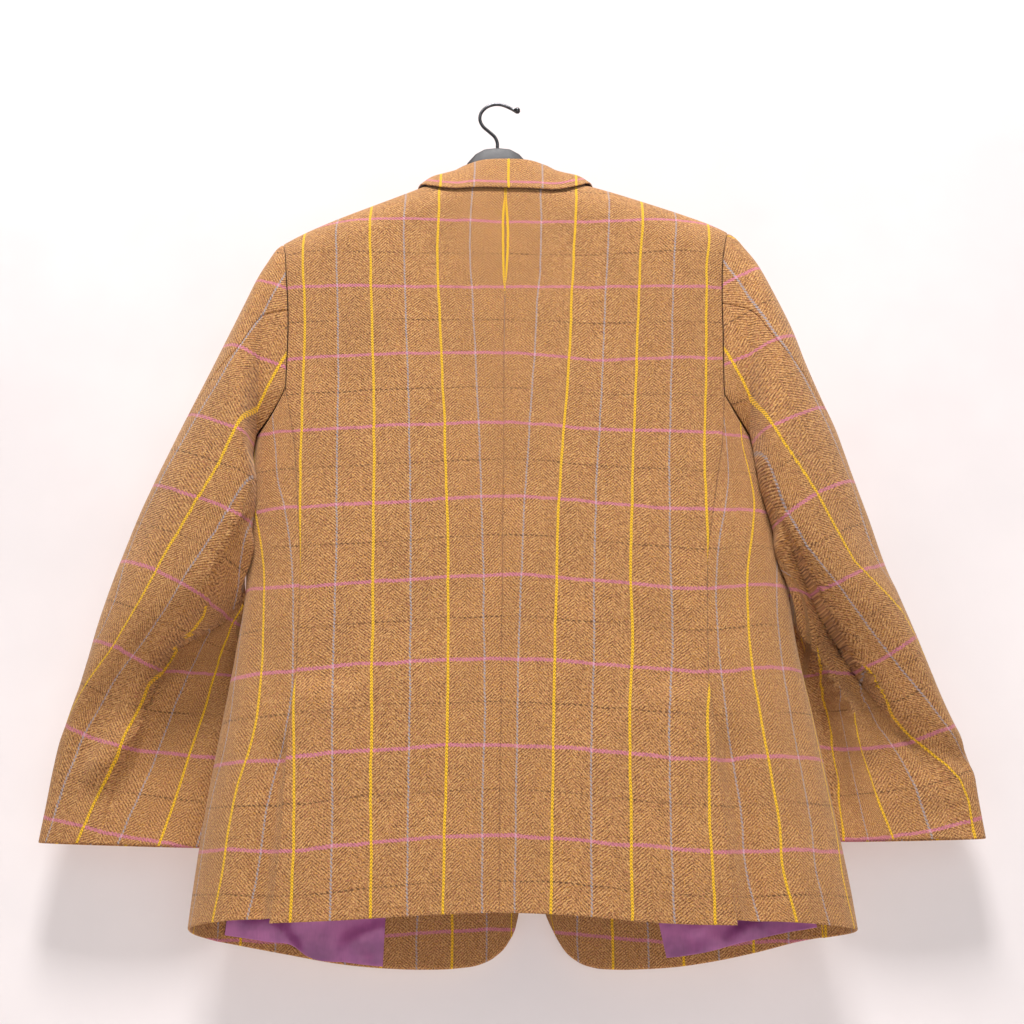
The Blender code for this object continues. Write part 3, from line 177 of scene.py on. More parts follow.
# Lower edges, seen from behind.
Hem = namedtuple("Hem", "x z")
BACK_HEM = (
    Hem(-221, -887), Hem(-165, -886), Hem(-133, -883.7), Hem(-90, -879.6), Hem(-48, -877.2),
    Hem(-5, -876), Hem(40, -877.2), Hem(85, -879.4), Hem(148, -883.3), Hem(204, -885.3),
)
FRONT_HEM = {
    "left": (
        Hem(-24, -866), Hem(-21, -882), Hem(-13, -900), Hem(0, -914), Hem(15, -921.5),
        Hem(38, -925.3), Hem(73, -926.4), Hem(108, -925.3), Hem(154, -921), Hem(200, -913),
        Hem(243, -905), Hem(276, -898.5),
    ),
    "right": (
        Hem(-314, -896.5), Hem(-298, -899.5), Hem(-256, -910), Hem(-212, -919), Hem(-179, -923.7),
        Hem(-144, -926), Hem(-116, -926.3), Hem(-97, -924.7), Hem(-81, -919), Hem(-67, -907),
        Hem(-57, -890), Hem(-50, -875), Hem(-46, -862),
    ),
}
# Free edge of the fronts from the lapel's break down to the start of the round corner.
FrontEdge = namedtuple("FrontEdge", "z left_x right_x")
FRONT_EDGE = (
    FrontEdge(-870, -24, -46), FrontEdge(-800, -25, -24), FrontEdge(-720, -26, -2),
    FrontEdge(-640, -27, 9), FrontEdge(-535, -27, 11), FrontEdge(-430, -27, 11),
)

# Sleeve sections, seen from behind: the outer and the inner end of each, the depth of its back
# above and below the elbow's overlap, the depth of its front, and the places of the two seams as
# parts of its girth.
Section = namedtuple(
    "Section", "outer_x outer_z outer_y inner_x inner_z inner_y over_depth under_depth front_depth"
    " elbow_seam wrist_seam")
SLEEVES = {
    "left": (
        Section(241, -189, 2, 246, -407, 4, 42, 42, 44, 0.20, 0.66),
        Section(254, -215, 1, 248, -415, 10, 49, 49, 48, 0.20, 0.66),
        Section(268, -250, 0, 248, -424, 18, 53, 53, 52, 0.19, 0.66),
        Section(283, -286, -1, 246, -435, 26, 55, 55, 54, 0.17, 0.66),
        Section(299, -323, -2, 243, -447, 31, 55, 55, 56, 0.14, 0.65),
        Section(317, -363, -3, 242, -461, 34, 53, 53, 56, 0.11, 0.64),
        Section(336, -406, -4, 242, -480, 36, 51, 51, 54, 0.07, 0.63),
        Section(352, -443, -5, 244, -502, 36, 49, 49, 52, 0.04, 0.62),
        Section(367, -480, -6, 241, -520, 34, 47, 47, 49, 0.02, 0.61),
        Section(384, -530, -8, 243, -534, 31, 46, 46, 45, 0.01, 0.60),
        Section(400, -585, -10, 246, -546, 25, 45, 42, 40, 0.01, 0.59),
        Section(411, -630, -13, 248, -556, 14, 43, 32, 35, 0.01, 0.58),
        Section(419, -658, -16, 249, -571, -6, 40, 22, 29, 0.01, 0.57),
        Section(426, -677, -20, 250, -592, -22, 37, 16, 23, 0.01, 0.56),
        Section(432, -693, -24, 248, -620, -31, 33, 15, 18, 0.01, 0.55),
        Section(438, -710, -27, 250, -652, -33, 29, 15, 16, 0.01, 0.54),
        Section(443, -736, -29, 257, -697, -33, 23, 15, 16, 0.01, 0.54),
        Section(447, -768, -30, 269, -748, -33, 18, 15, 15, 0.01, 0.53),
        Section(452, -806, -31, 284, -811, -31, 15, 15, 15, 0.01, 0.53),
    ),
    "right": (
        Section(-264, -177, 2, -260, -409, 4, 42, 42, 44, 0.20, 0.66),
        Section(-279, -200, 1, -262, -417, 10, 49, 49, 48, 0.20, 0.66),
        Section(-295, -235, 0, -263, -427, 18, 53, 53, 52, 0.19, 0.66),
        Section(-312, -276, -1, -264, -439, 25, 55, 55, 54, 0.17, 0.66),
        Section(-325, -316, -2, -266, -453, 30, 55, 55, 56, 0.14, 0.65),
        Section(-340, -356, -3, -269, -468, 33, 53, 53, 56, 0.11, 0.64),
        Section(-354, -391, -4, -273, -485, 35, 51, 51, 54, 0.07, 0.63),
        Section(-367, -435, -5, -278, -505, 36, 49, 46, 52, 0.04, 0.62),
        Section(-381, -480, -6, -278, -523, 35, 48, 38, 49, 0.02, 0.61),
        Section(-394, -524, -8, -282, -540, 31, 48, 26, 45, 0.01, 0.60),
        Section(-409, -565, -10, -287, -553, 24, 47, 20, 40, 0.01, 0.59),
        Section(-424, -603, -13, -291, -566, 12, 45, 17, 34, 0.01, 0.58),
        Section(-436, -635, -16, -294, -583, -5, 43, 16, 28, 0.01, 0.57),
        Section(-447, -663, -20, -297, -604, -20, 40, 16, 23, 0.01, 0.56),
        Section(-458, -687, -24, -297, -632, -30, 36, 15, 18, 0.01, 0.55),
        Section(-468, -706, -27, -301, -668, -33, 31, 15, 16, 0.01, 0.54),
        Section(-477, -733, -29, -310, -713, -33, 24, 15, 16, 0.01, 0.54),
        Section(-481, -766, -30, -322, -757, -33, 18, 15, 15, 0.01, 0.53),
        Section(-485, -802, -31, -334, -805, -31, 15, 15, 15, 0.01, 0.53),
    ),
}

# Line at the elbow along which the upper sleeve laps over the forearm, seen from behind.
LapLine = namedtuple("LapLine", "x z")
LAP_MARGIN = 0.05          # of the girth kept free between the step and the seam or the inner end
HEAD_SECTIONS = 4          # sections over which the armhole's columns move into their places

# Large folds of the cloth: a soft trough (negative height) or ridge from its start to its end.
Fold = namedtuple("Fold", "start_x start_z end_x end_z half_width height")
FOLD_FADE = 0.22           # part of its length over which a fold begins and ends
FOLD_END = 1.12            # where it is gone, as a part of its length
FOLDS_BEHIND_Y = -28.0     # folds lie on the cloth behind this level
SLEEVE_FOLD_START = 1.0    # behind the middle of the sleeve, where its folds begin
SLEEVE_FOLD_RUN = 6.0      # and the depth over which they reach their height
SIDE_FOLDS = {
    "left": (Fold(203, -700, 216, -892, 11, -9), Fold(236, -640, 250, -880, 16, 3)),
    "right": (Fold(-218, -690, -240, -892, 12, -9), Fold(-262, -650, -284, -880, 18, 3)),
}
SLEEVE_FOLDS = {
    "left": (Fold(300, -618, 398, -742, 12, 8), Fold(280, -640, 330, -800, 14, -4)),
    "right": (Fold(-335, -606, -420, -722, 12, 8), Fold(-310, -600, -366, -716, 11, 7),
              Fold(-318, -640, -352, -790, 11, -5)),
}

# Collar sections from the centre back round to its front end.  Offsets are from the middle of the
# neck.  The root lies inside the neckline and is tucked a little further in, the fold stands
# above it, and the edge lies on the body.
Collar = namedtuple(
    "Collar", "face root_offset root_drop tuck_offset tuck_drop fold_offset fold_y fold_z"
    " edge_offset edge_drop bow")
COLLAR = (
    Collar("back", 0, 63.5, 0, 72, 0, 45, -93.5, 0, 77, 0),
    Collar("back", 25, 55.5, 27, 65, 23, 43, -93.5, 29, 75, 0.5),
    Collar("back", 43.5, 37, 49, 45, 40, 34, -93.5, 55, 69, 2),
    Collar("back", 56, 20, 64, 25, 52, 22, -92.5, 76, 53, 4),
    Collar("back", 63.5, 7, 72, 10, 59, 8, -92.5, 90, 28, 5),
    Collar("back", 66.5, 0.5, 75, 0.5, 61.5, -4, -93.5, 96, 2, 5),
    Collar("front", 66.5, 16, 75, 16, 61, -16, -95.5, 102, 22, 5),
    Collar("front", 66, 34, 74, 34, 60.5, -37, -103, 108, 44, 5),
    Collar("front", 63.5, 52, 72, 52, 58.5, -53.5, -120, 111, 62, 4),
    Collar("front", 61, 70, 70, 70, 56, -62.5, -141, 112, 78, 3),
    Collar("front", 57.5, 88, 67, 88, 52.5, -65, -161, 112, 92, 2),
)
COLLAR_INSIDE = 5.4        # centre of the collar's cloth inside the neckline
COLLAR_OVER = 2.8          # and over the outside of the body, at its edge

# Lapels, from the collar's end down to the break of the front.
Lapel = namedtuple("Lapel", "share reach")
LAPEL_SHAPE = (
    Lapel(0, 84), Lapel(0.08, 84), Lapel(0.3, 70), Lapel(0.6, 41), Lapel(0.85, 16), Lapel(1, 5))
LAPEL_TOP_INNER = -172.0
LAPEL_TOP_OUTER = -196.0
LAPEL_BOTTOM = {"left": -418.0, "right": -362.0}

# Slanted hip pocket flaps.
FLAP_LENGTH = 165.0
FLAP_DEPTH = 58.0
FLAP_SLANT = 16.0          # degrees, lower towards the side
FLAP_CENTRE = {"left": (128.0, -668.0), "right": (-150.0, -668.0)}

# Wire of the hook: its centre line, from the hanger up and over.
HookPoint = namedtuple("HookPoint", "x z thickness")
HOOK = (
    HookPoint(0, -52.6, 1), HookPoint(0.3, -46, 1), HookPoint(3.2, -39, 1),
    HookPoint(9.5, -32.5, 1), HookPoint(16.2, -25.8, 1), HookPoint(19.6, -17.6, 1),
    HookPoint(18.4, -9.2, 1), HookPoint(12.6, -2.0, 1), HookPoint(4.5, 1.6, 1),
    HookPoint(-3.5, 1.6, 1), HookPoint(-11.0, -1.2, 1), HookPoint(-17.6, -4.9, 1),
    HookPoint(-19.6, -5.6, 1.4), HookPoint(-21.6, -5.8, 1.85), HookPoint(-23.6, -5.8, 1.75),
    HookPoint(-25.2, -5.7, 0.9),
)


# ---------------------------------------------------------------- grid sizes
ARMHOLE_ROWS = 44
ROWS_TO_SHOULDER = 1.25     # above 1 the rows draw together over the shoulder's roll
BODY_ROWS = 128
BACK_NECK_COLUMNS = 18
BACK_SHOULDER_COLUMNS = 40
SIDE_COLUMNS = 44
UNDERLAP_COLUMNS = 9
FRONT_COLUMNS = 72
FRONT_COLUMNS_TO_EDGE = 1.15    # above 1 they draw together towards the front edge
EDGE_ROUNDS = 12            # rounds in which the x of an edge and its height settle
EDGE_START_Z = -300.0       # the height with which they start
FACING_SHARE = 0.51         # place of the facing's edge among the front's columns
SLEEVE_STEPS = 8            # rows from one sleeve section to the next
ELBOW_STEPS = 14            # and at the elbow
ELBOW_SECTIONS = (7, 16)
HEAD_ROWS = 4               # rows between the armhole and the first section
LAP_COLUMNS = 12            # columns that carry the step at the elbow's lap
LAP_TO_TIP_COLUMNS = 15     # columns between that step and the inner end
LAP_WIDTH = 0.010           # half the strip of the girth that carries it
LAP_STEP = 5.0              # the least step that the strip follows
LAP_DIP_RUN = 13.0          # length over which the cloth rises again below the lap
ROLL_POWER = 0.45           # below 1 the cloth drops at once where it rolls down
SLEEVES_HEAD_SEAM = 0.14    # place of the elbow seam where the columns have settled
RING_SAMPLES = 360
EDGE_STEPS = (0.45, 0.72, 0.88, 0.96)    # extra rows or columns beside an edge

SIDES = {"left": 1.0, "right": -1.0}

# The lap at the elbow along its way from the armpit: how far the cloth above it rolls down to its
# edge, over what width, how deep the cloth below lies in its shade, and half the width of its edge.
Roll = namedtuple("Roll", "way roll width dip softness")
ELBOW_LAP = {
    "left": (
        LapLine(229, -512), LapLine(242, -546), LapLine(260, -571), LapLine(283, -591),
        LapLine(307, -605), LapLine(327, -619), LapLine(342, -640), LapLine(354, -666),
        LapLine(364, -694), LapLine(376, -745)),
    "right": (
        LapLine(-262, -452), LapLine(-283, -500), LapLine(-302, -540), LapLine(-322, -574),
        LapLine(-343, -606), LapLine(-364, -634), LapLine(-388, -668), LapLine(-411, -698),
        LapLine(-438, -733), LapLine(-460, -775)),
}
ELBOW_ROLL = {
    "left": (
        Roll(0, 22, 26, 23, 1.5), Roll(0.12, 31, 28, 33, 1.0), Roll(0.23, 35, 21, 36, 1.0),
        Roll(0.33, 28, 14, 30, 1.0), Roll(0.44, 16, 9, 24, 1.0), Roll(0.55, 8, 6, 18, 1.4),
        Roll(0.7, 3, 8, 9, 4), Roll(0.85, 1, 10, 3, 8), Roll(1, 0, 12, 0, 14)),
    "right": (
        Roll(0, 4, 8, 4, 2.5), Roll(0.2, 4, 7, 14, 1.0), Roll(0.4, 4, 6, 20, 0.8),
        Roll(0.6, 4, 7, 19, 1.4), Roll(0.72, 3, 12, 11, 4), Roll(0.88, 2, 14, 4, 9),
        Roll(1, 0, 14, 0, 16)),
}
# Creases of the sleeves, seen from behind: their height, or depth below 0, and how far they reach
# on the side of the upper sleeve and on the other side.
Crease = namedtuple("Crease", "height above below points")
CREASE_FADE = 0.25          # part of its length over which a crease begins and ends
SLEEVE_CREASES = {
    "left": (
        Crease(4, 18, 6, ((333, -622), (352, -668), (372, -715), (392, -765))),
        Crease(-3, 10, 10, ((300, -640), (330, -700), (345, -760))),
        Crease(3, 12, 8, ((270, -640), (286, -700), (300, -770))),
        Crease(-2.5, 12, 10, ((330, -440), (352, -500), (372, -545))),
        Crease(-2.5, 8, 10, ((390, -640), (400, -690), (418, -740))),
    ),
    "right": (
        Crease(13, 12, 2.0, ((-282, -545), (-298, -575), (-310, -599), (-322, -618), (-335, -646),
                             (-353, -678), (-366, -702))),
        Crease(-7, 2, 10, ((-290, -575), (-305, -605), (-318, -632), (-331, -660), (-344, -690))),
        Crease(-6, 14, 12, ((-392, -685), (-419, -706), (-440, -718), (-465, -727), (-482, -735))),
        Crease(4, 14, 14, ((-352, -655), (-390, -705), (-420, -745), (-440, -785))),
        Crease(-3, 6, 8, ((-304, -620), (-318, -655), (-328, -690), (-338, -740))),
        Crease(-2.5, 12, 14, ((-345, -470), (-372, -520), (-398, -565))),
        Crease(-3, 12, 10, ((-432, -765), (-455, -785), (-478, -800))),
    ),
}


# ---------------------------------------------------------------- curves through tables
def column(rows, name):
    return np.array([getattr(row, name) for row in rows], float)


def curve(knots, values, at):
    """Smooth curve through the rows of a table, level beyond its ends."""
    slopes = np.gradient(values, knots)
    at = np.clip(np.asarray(at, float), knots[0], knots[-1])
    low = np.clip(np.searchsorted(knots, at) - 1, 0, len(knots) - 2)
    span = knots[low + 1] - knots[low]
    t = (at - knots[low]) / span
    rise = values[low + 1] - values[low]
    start, end = slopes[low] * span, slopes[low + 1] * span
    bend = 3 * rise - 2 * start - end
    return values[low] + t * start + t**2 * bend + t**3 * (start + end - 2 * rise)


def read(rows, key, name, at):
    return curve(column(rows, key), column(rows, name), at)


def ramp(value):
    """0 to 1 with soft ends."""
    value = np.clip(value, 0.0, 1.0)
    return value * value * (3 - 2 * value)


def unit(vectors):
    return vectors / np.linalg.norm(vectors, axis=-1, keepdims=True)


def lengths_along(points, axis=0):
    """Lengths from the first point of a row, or of each row of a grid, to all its points."""
    steps = np.linalg.norm(np.diff(points, axis=axis), axis=-1)
    zero = np.zeros_like(np.take(steps, [0], axis=axis))
    return np.concatenate([zero, np.cumsum(steps, axis=axis)], axis=axis)


# ---------------------------------------------------------------- the draped body
def ridge(x):
    return read(RIDGE, "x", "z", x)


def ring(z):
    return {name: read(BODY_RINGS, "z", name, z) for name in Ring._fields[1:]}


def face_y(x, z, face):
    """Level of the back or of the front at a place seen from behind."""
    size = ring(z)
    half = np.where(x > size["centre_x"], size["half_left"], size["half_right"])
    reach = np.clip(np.abs(x - size["centre_x"]) / half, 0.0, 0.999)
    round_off = (1 - reach**SQUARENESS) ** (1 / SQUARENESS)
    depth = size["back_depth"] if face == "back" else -size["front_depth"]
    return size["middle_y"] + depth * round_off


def height_at(x, drop):
    """Height after going a length down from the ridge, over the roll of the shoulder."""
    quarter = ROLL_HEIGHT * math.pi / 2
    rolled = ROLL_HEIGHT * (1 - np.cos(np.clip(drop, 0, quarter) / ROLL_HEIGHT))
    return ridge(x) - rolled - np.maximum(drop - quarter, 0)


def drop_at(x, z):
    """The length down from the ridge at which the cloth has a given height."""
    below = ridge(x) - z
    rolled = ROLL_HEIGHT * np.arccos(np.clip(1 - below / ROLL_HEIGHT, 0, 1))
    return np.where(below < ROLL_HEIGHT, rolled, ROLL_HEIGHT * (math.pi / 2 - 1) + below)


def drape(x, drop, face):
    """A point of the back or front, given across and down along the cloth."""
    x, drop = np.broadcast_arrays(np.asarray(x, float), np.asarray(drop, float))
    z = height_at(x, drop)
    angle = np.clip(drop / ROLL_HEIGHT, 0, math.pi / 2)
    y = SHOULDER_SEAM_Y + (face_y(x, z, face) - SHOULDER_SEAM_Y) * np.sin(angle)
    return np.stack([x, y, z], axis=-1)


def drape_normal(x, drop, face, step=0.5):
    across = drape(x + step, drop, face) - drape(x - step, drop, face)
    start = np.maximum(np.asarray(drop, float) - step, 0)
    down = drape(x, start + 2 * step, face) - drape(x, start, face)
    normal = unit(np.cross(across, down))
    return normal if face == "back" else -normal


def half_ring(z, side):
    """One half of a body ring from the centre back round to the centre front, with its lengths."""
    size = {name: float(value) for name, value in ring(z).items()}
    half = size["half_left"] if side == "left" else size["half_right"]
    turn = np.linspace(0, math.pi, RING_SAMPLES)
    power = 2 / SQUARENESS
    x = size["centre_x"] + SIDES[side] * half * np.sin(turn) ** power
    swing = np.abs(np.cos(turn)) ** power
    depth = np.where(turn < math.pi / 2, size["back_depth"], -size["front_depth"])
    y = size["middle_y"] + depth * swing
    points = np.stack([x, y, np.full_like(x, z)], axis=-1)
    return points, lengths_along(points)


def length_to(points, lengths, x, side, face):
    """Length along a half ring to the place where the back or front has a given x."""
    middle = RING_SAMPLES // 2
    reach = SIDES[side] * points[:, 0]
    if face == "back":
        return np.interp(SIDES[side] * x, reach[:middle], lengths[:middle])
    return np.interp(-SIDES[side] * x, -reach[middle:], lengths[middle:])


def girth_point(z, side, share):
    """A point of the side panel; share runs from 0 at the back seam to 1 at the front seam.

    Below 0 it runs over the vent's underlap, to -1.
    """
    points, lengths = half_ring(z, side)
    start = length_to(points, lengths, float(side_seam_x(z, side)), side, "back")
    end = length_to(points, lengths, float(front_seam_x(z, side)), side, "front")
    at = start + share * (end - start if share > 0 else VENT_UNDERLAP)
    return np.array([np.interp(at, lengths, points[:, axis]) for axis in range(3)])


def fold_height(points, folds, only_back=True):
    """Height of the large folds at each point, seen from behind."""
    total = np.zeros(points.shape[:-1])
    for fold in folds:
        start = np.array([fold.start_x, fold.start_z])
        run = np.array([fold.end_x, fold.end_z]) - start
        length = np.linalg.norm(run)
        offset = points[..., (0, 2)] - start
        along = offset @ run / length**2
        off = np.abs(offset[..., 0] * run[1] - offset[..., 1] * run[0]) / length
        ends = ramp(along / FOLD_FADE) * ramp((FOLD_END - along) / FOLD_FADE)
        total += fold.height * np.exp(-((off / fold.half_width) ** 2)) * ends
    return total * (points[..., 1] > FOLDS_BEHIND_Y) if only_back else total


# ---------------------------------------------------------------- edges of the pieces
def side_seam_x(z, side):
    return read(SIDE_SEAM, "z", side + "_x", z)


def front_seam_x(z, side):
    size = ring(z)
    half = size["half_left"] if side == "left" else size["half_right"]
    return size["centre_x"] + SIDES[side] * FRONT_SEAM_REACH * half


def armhole_x(z, side, face):
    """Edge of the back or front at the armhole, led into the seam below it."""
    lowest = ARMHOLE[side][0]
    seam = side_seam_x(lowest.z, side) if face == "back" else front_seam_x(lowest.z, side)
    miss = seam - getattr(lowest, face + "_x")
    led = ramp((lowest.z + ARMHOLE_LEAD - z) / ARMHOLE_LEAD)
    return read(ARMHOLE[side], "z", face + "_x", z) + miss * led


def back_edge_x(z, side):
    top = ARMHOLE[side][0].z
    return np.where(z > top, armhole_x(z, side, "back"), side_seam_x(z, side))


def front_outer_x(z, side):
    top = ARMHOLE[side][0].z
    return np.where(z > top, armhole_x(z, side, "front"), front_seam_x(z, side))


def roll_line_x(z, side):
    """Fold of the lapel and, below its break, the front edge."""
    neck_x = CENTRE_X + SIDES[side] * NECK_HALF
    break_x = float(read(FRONT_EDGE, "z", side + "_x", LAPEL_BREAK_Z))
    share = np.clip((z - NECK_POINT_Z) / (LAPEL_BREAK_Z - NECK_POINT_Z), 0, 1)
    bow = LAPEL_FOLD_BOW * SIDES[side] * np.sin(math.pi * share)
    fold = neck_x + (break_x - neck_x) * share + bow
    return np.where(z > LAPEL_BREAK_Z, fold, read(FRONT_EDGE, "z", side + "_x", z))


def vent_lift(x, z, side):
    """The back panel stands off over the vent's underlap."""
    inside = SIDES[side] * (side_seam_x(z, side) - x)
    near = ramp((VENT_UNDERLAP + VENT_MARGIN + VENT_FADE - inside) / VENT_FADE)
    return VENT_LIFT * near * ramp((VENT_TOP[side] - z) / VENT_RUN)


def front_lift(x, z, side):
    """The left front stands off over the right one."""
    if side == "right":
        return np.zeros_like(x)
    inside = x - roll_line_x(z, side)
    near = ramp((FRONT_LAP + FRONT_FADE - inside) / FRONT_FADE)
    return FRONT_LAP_LIFT * near * ramp((FRONT_LAP_TOP - z) / FRONT_LAP_RUN)


def front_point(x, drop, side, lift=0.0):
    points = drape(x, drop, "front")
    normals = drape_normal(x, drop, "front")
    lift = lift + front_lift(points[..., 0], points[..., 2], side)
    return points + normals * np.asarray(lift)[..., None], normals


# ---------------------------------------------------------------- grids of the pieces
Panel = namedtuple("Panel", "points normals keep")


def grid_normals(points, outward):
    """Normals of a grid of points, turned to the outside of the cloth."""
    normals = unit(np.cross(np.gradient(points, axis=0), np.gradient(points, axis=1)))
    return normals * np.sign(np.sum(normals * outward))


def all_kept(points):
    return np.ones((points.shape[0] - 1, points.shape[1] - 1), bool)


def place_on_edge(edge, drops, side):
    """x and drop of an edge whose x depends on its height."""
    x = edge(np.full_like(drops, EDGE_START_Z), side)
    for _ in range(EDGE_ROUNDS):
        x = edge(height_at(x, drops), side)
    return x


def panel_rows(edge, hem, side):
    """Drops of all rows down the outer edge of the back or front."""
    join_z = ARMHOLE[side][0].z
    join = float(drop_at(edge(join_z, side), join_z))
    upper = join * np.linspace(0, 1, ARMHOLE_ROWS + 1) ** ROWS_TO_SHOULDER
    z = np.linspace(join_z, float(hem(edge(HEM_LEVEL, side))), BODY_ROWS + 1)[1:]
    lower = drop_at(edge(z, side), z)
    return np.concatenate([upper, lower])


def back_hem(x):
    return read(BACK_HEM, "x", "z", x)


def front_hem(x, side):
    return read(FRONT_HEM[side], "x", "z", x)


def back_neck_drop(x):
    """The back neckline, deepest at the centre and rising to the neck points."""
    off = np.clip(np.abs(x - CENTRE_X) / NECK_HALF, 0, 1)
    return BACK_NECK_DROP * (1 - off**2)


@lru_cache(maxsize=None)
def back_panel(side):
    outer_drops = panel_rows(back_edge_x, back_hem, side)
    outer_x = place_on_edge(back_edge_x, outer_drops, side)
    shares = (outer_drops - outer_drops[0]) / (outer_drops[-1] - outer_drops[0])
    tip_x = outer_x[0]
    neck_share = NECK_HALF / abs(tip_x - CENTRE_X)
    across = np.concatenate([
        np.linspace(0, neck_share, BACK_NECK_COLUMNS + 1),
        np.linspace(neck_share, 1, BACK_SHOULDER_COLUMNS + 1)[1:],
    ])
    outer_z = height_at(outer_x, outer_drops)
    middle_x = ring(outer_z)["centre_x"]
    x = middle_x[:, None] + (outer_x - middle_x)[:, None] * across[None, :]
    top = back_neck_drop(x[0])
    bottom = drop_at(x[-1], back_hem(x[-1]))
    drop = top[None, :] + shares[:, None] * (bottom - top)[None, :]
    points = drape(x, drop, "back")
    normals = drape_normal(x, drop, "back")
    lift = vent_lift(points[..., 0], points[..., 2], side)
    points = points + normals * lift[..., None]
    return Panel(points, normals, all_kept(points))


@lru_cache(maxsize=None)
def front_panel(side):
    outer_drops = panel_rows(front_outer_x, lambda x: front_hem(x, side), side)
    outer_x = place_on_edge(front_outer_x, outer_drops, side)
    shares = (outer_drops - outer_drops[0]) / (outer_drops[-1] - outer_drops[0])
    corner = FRONT_HEM[side][0 if side == "left" else -1]
    inner_bottom = float(drop_at(corner.x, corner.z))
    inner_drops = shares * inner_bottom
    inner_x = place_on_edge(roll_line_x, inner_drops, side)
    across = np.linspace(0, 1, FRONT_COLUMNS + 1) ** FRONT_COLUMNS_TO_EDGE
    x = inner_x[:, None] + (outer_x - inner_x)[:, None] * across[None, :]
    bottom = drop_at(x[-1], front_hem(x[-1], side))
    bottom[0], bottom[-1] = inner_drops[-1], outer_drops[-1]
    drop = shares[:, None] * bottom[None, :]
    points, normals = front_point(x, drop, side)
    return Panel(points, normals, all_kept(points))


@lru_cache(maxsize=None)
def side_panel(side):
    """The side panel with the vent's underlap in the columns before share 0."""
    underlap = np.linspace(-1, 0, UNDERLAP_COLUMNS + 1)[:-1]
    shares = np.concatenate([underlap, np.linspace(0, 1, SIDE_COLUMNS + 1)])
    back_bottom = float(back_hem(back_edge_x(HEM_LEVEL, side)))
    front_bottom = float(front_hem(front_outer_x(HEM_LEVEL, side), side))
    points = np.zeros((BODY_ROWS + 1, len(shares), 3))
    for j, share in enumerate(shares):
        top = float(read(UNDERARM, "share", side + "_z", share))
        bottom = back_bottom + (front_bottom - back_bottom) * max(share, 0) ** SIDE_HEM_CURVE
        for i, down in enumerate(np.linspace(0, 1, BODY_ROWS + 1)):
            z = top + down * (bottom - top)
            z += SIDE_HEM_RISE * (1 - max(share, 0)) * float(ramp((VENT_TOP[side] - z) / SIDE_RISE_RUN))
            points[i, j] = girth_point(z, side, share)
    normals = grid_normals(points, np.array([SIDES[side], 0, 0]))
    height = fold_height(points, SIDE_FOLDS[side]) * (shares > -0.01)[None, :]
    points = points + normals * height[..., None]
    keep = all_kept(points)
    lower_corners = points[:-1, 1:UNDERLAP_COLUMNS + 1, 2]
    keep[:, :UNDERLAP_COLUMNS] = lower_corners < VENT_TOP[side] - UNDERLAP_START
    return Panel(points, normals, keep)


# ---------------------------------------------------------------- sleeves
def fine_sections(side):
    """Sleeve sections between those of the table, with their places in it."""
    rows = SLEEVES[side]
    steps = np.arange(len(rows), dtype=float)
    at = []
    for k in range(len(rows) - 1):
        count = ELBOW_STEPS if ELBOW_SECTIONS[0] <= k < ELBOW_SECTIONS[1] else SLEEVE_STEPS
        at += [k + step / count for step in range(count)]
    at = np.array(at + [len(rows) - 1.0])
    values = {name: curve(steps, column(rows, name), at) for name in Section._fields}
    return at, [Section(*(values[name][k] for name in Section._fields)) for k in range(len(at))]


def line_side(places, line):
    """Signed distances of places from a line of points, and the ways along it."""
    line = np.array(line, float)
    start, run = line[:-1], np.diff(line, axis=0)
    offset = places[:, None] - start
    along = np.clip(np.sum(offset * run, axis=-1) / np.sum(run * run, axis=-1), 0, 1)
    away = np.linalg.norm(offset - along[..., None] * run, axis=-1)
    nearest = np.argmin(away, axis=1)
    rows = np.arange(len(nearest))
    near, step = offset[rows, nearest], run[nearest]
    cross = step[:, 0] * near[:, 1] - step[:, 1] * near[:, 0]
    way = (nearest + along[rows, nearest]) / len(run)
    return np.sign(cross) * away[rows, nearest], way


def beyond_line(x, z, line, side):
    """The same seen from behind, above 0 on the upper sleeve's side of the line."""
    distance, way = line_side(np.stack([x, z], axis=-1), line)
    return SIDES[side] * distance, way


def crease_height(points, creases, fade, side):
    """Height of soft creases at the points of a grid; fade is the part of their length at each end."""
    height = np.zeros(points.shape[:2])
    x, z = points[..., 0].ravel(), points[..., 2].ravel()
    for crease in creases:
        beyond, way = beyond_line(x, z, crease.points, side)
        reach = np.where(beyond > 0, crease.above, crease.below)
        ends = ramp(way / fade) * ramp((1 - way) / fade)
        height += (crease.height * ends * np.exp(-(beyond / reach)**2)).reshape(height.shape)
    return height


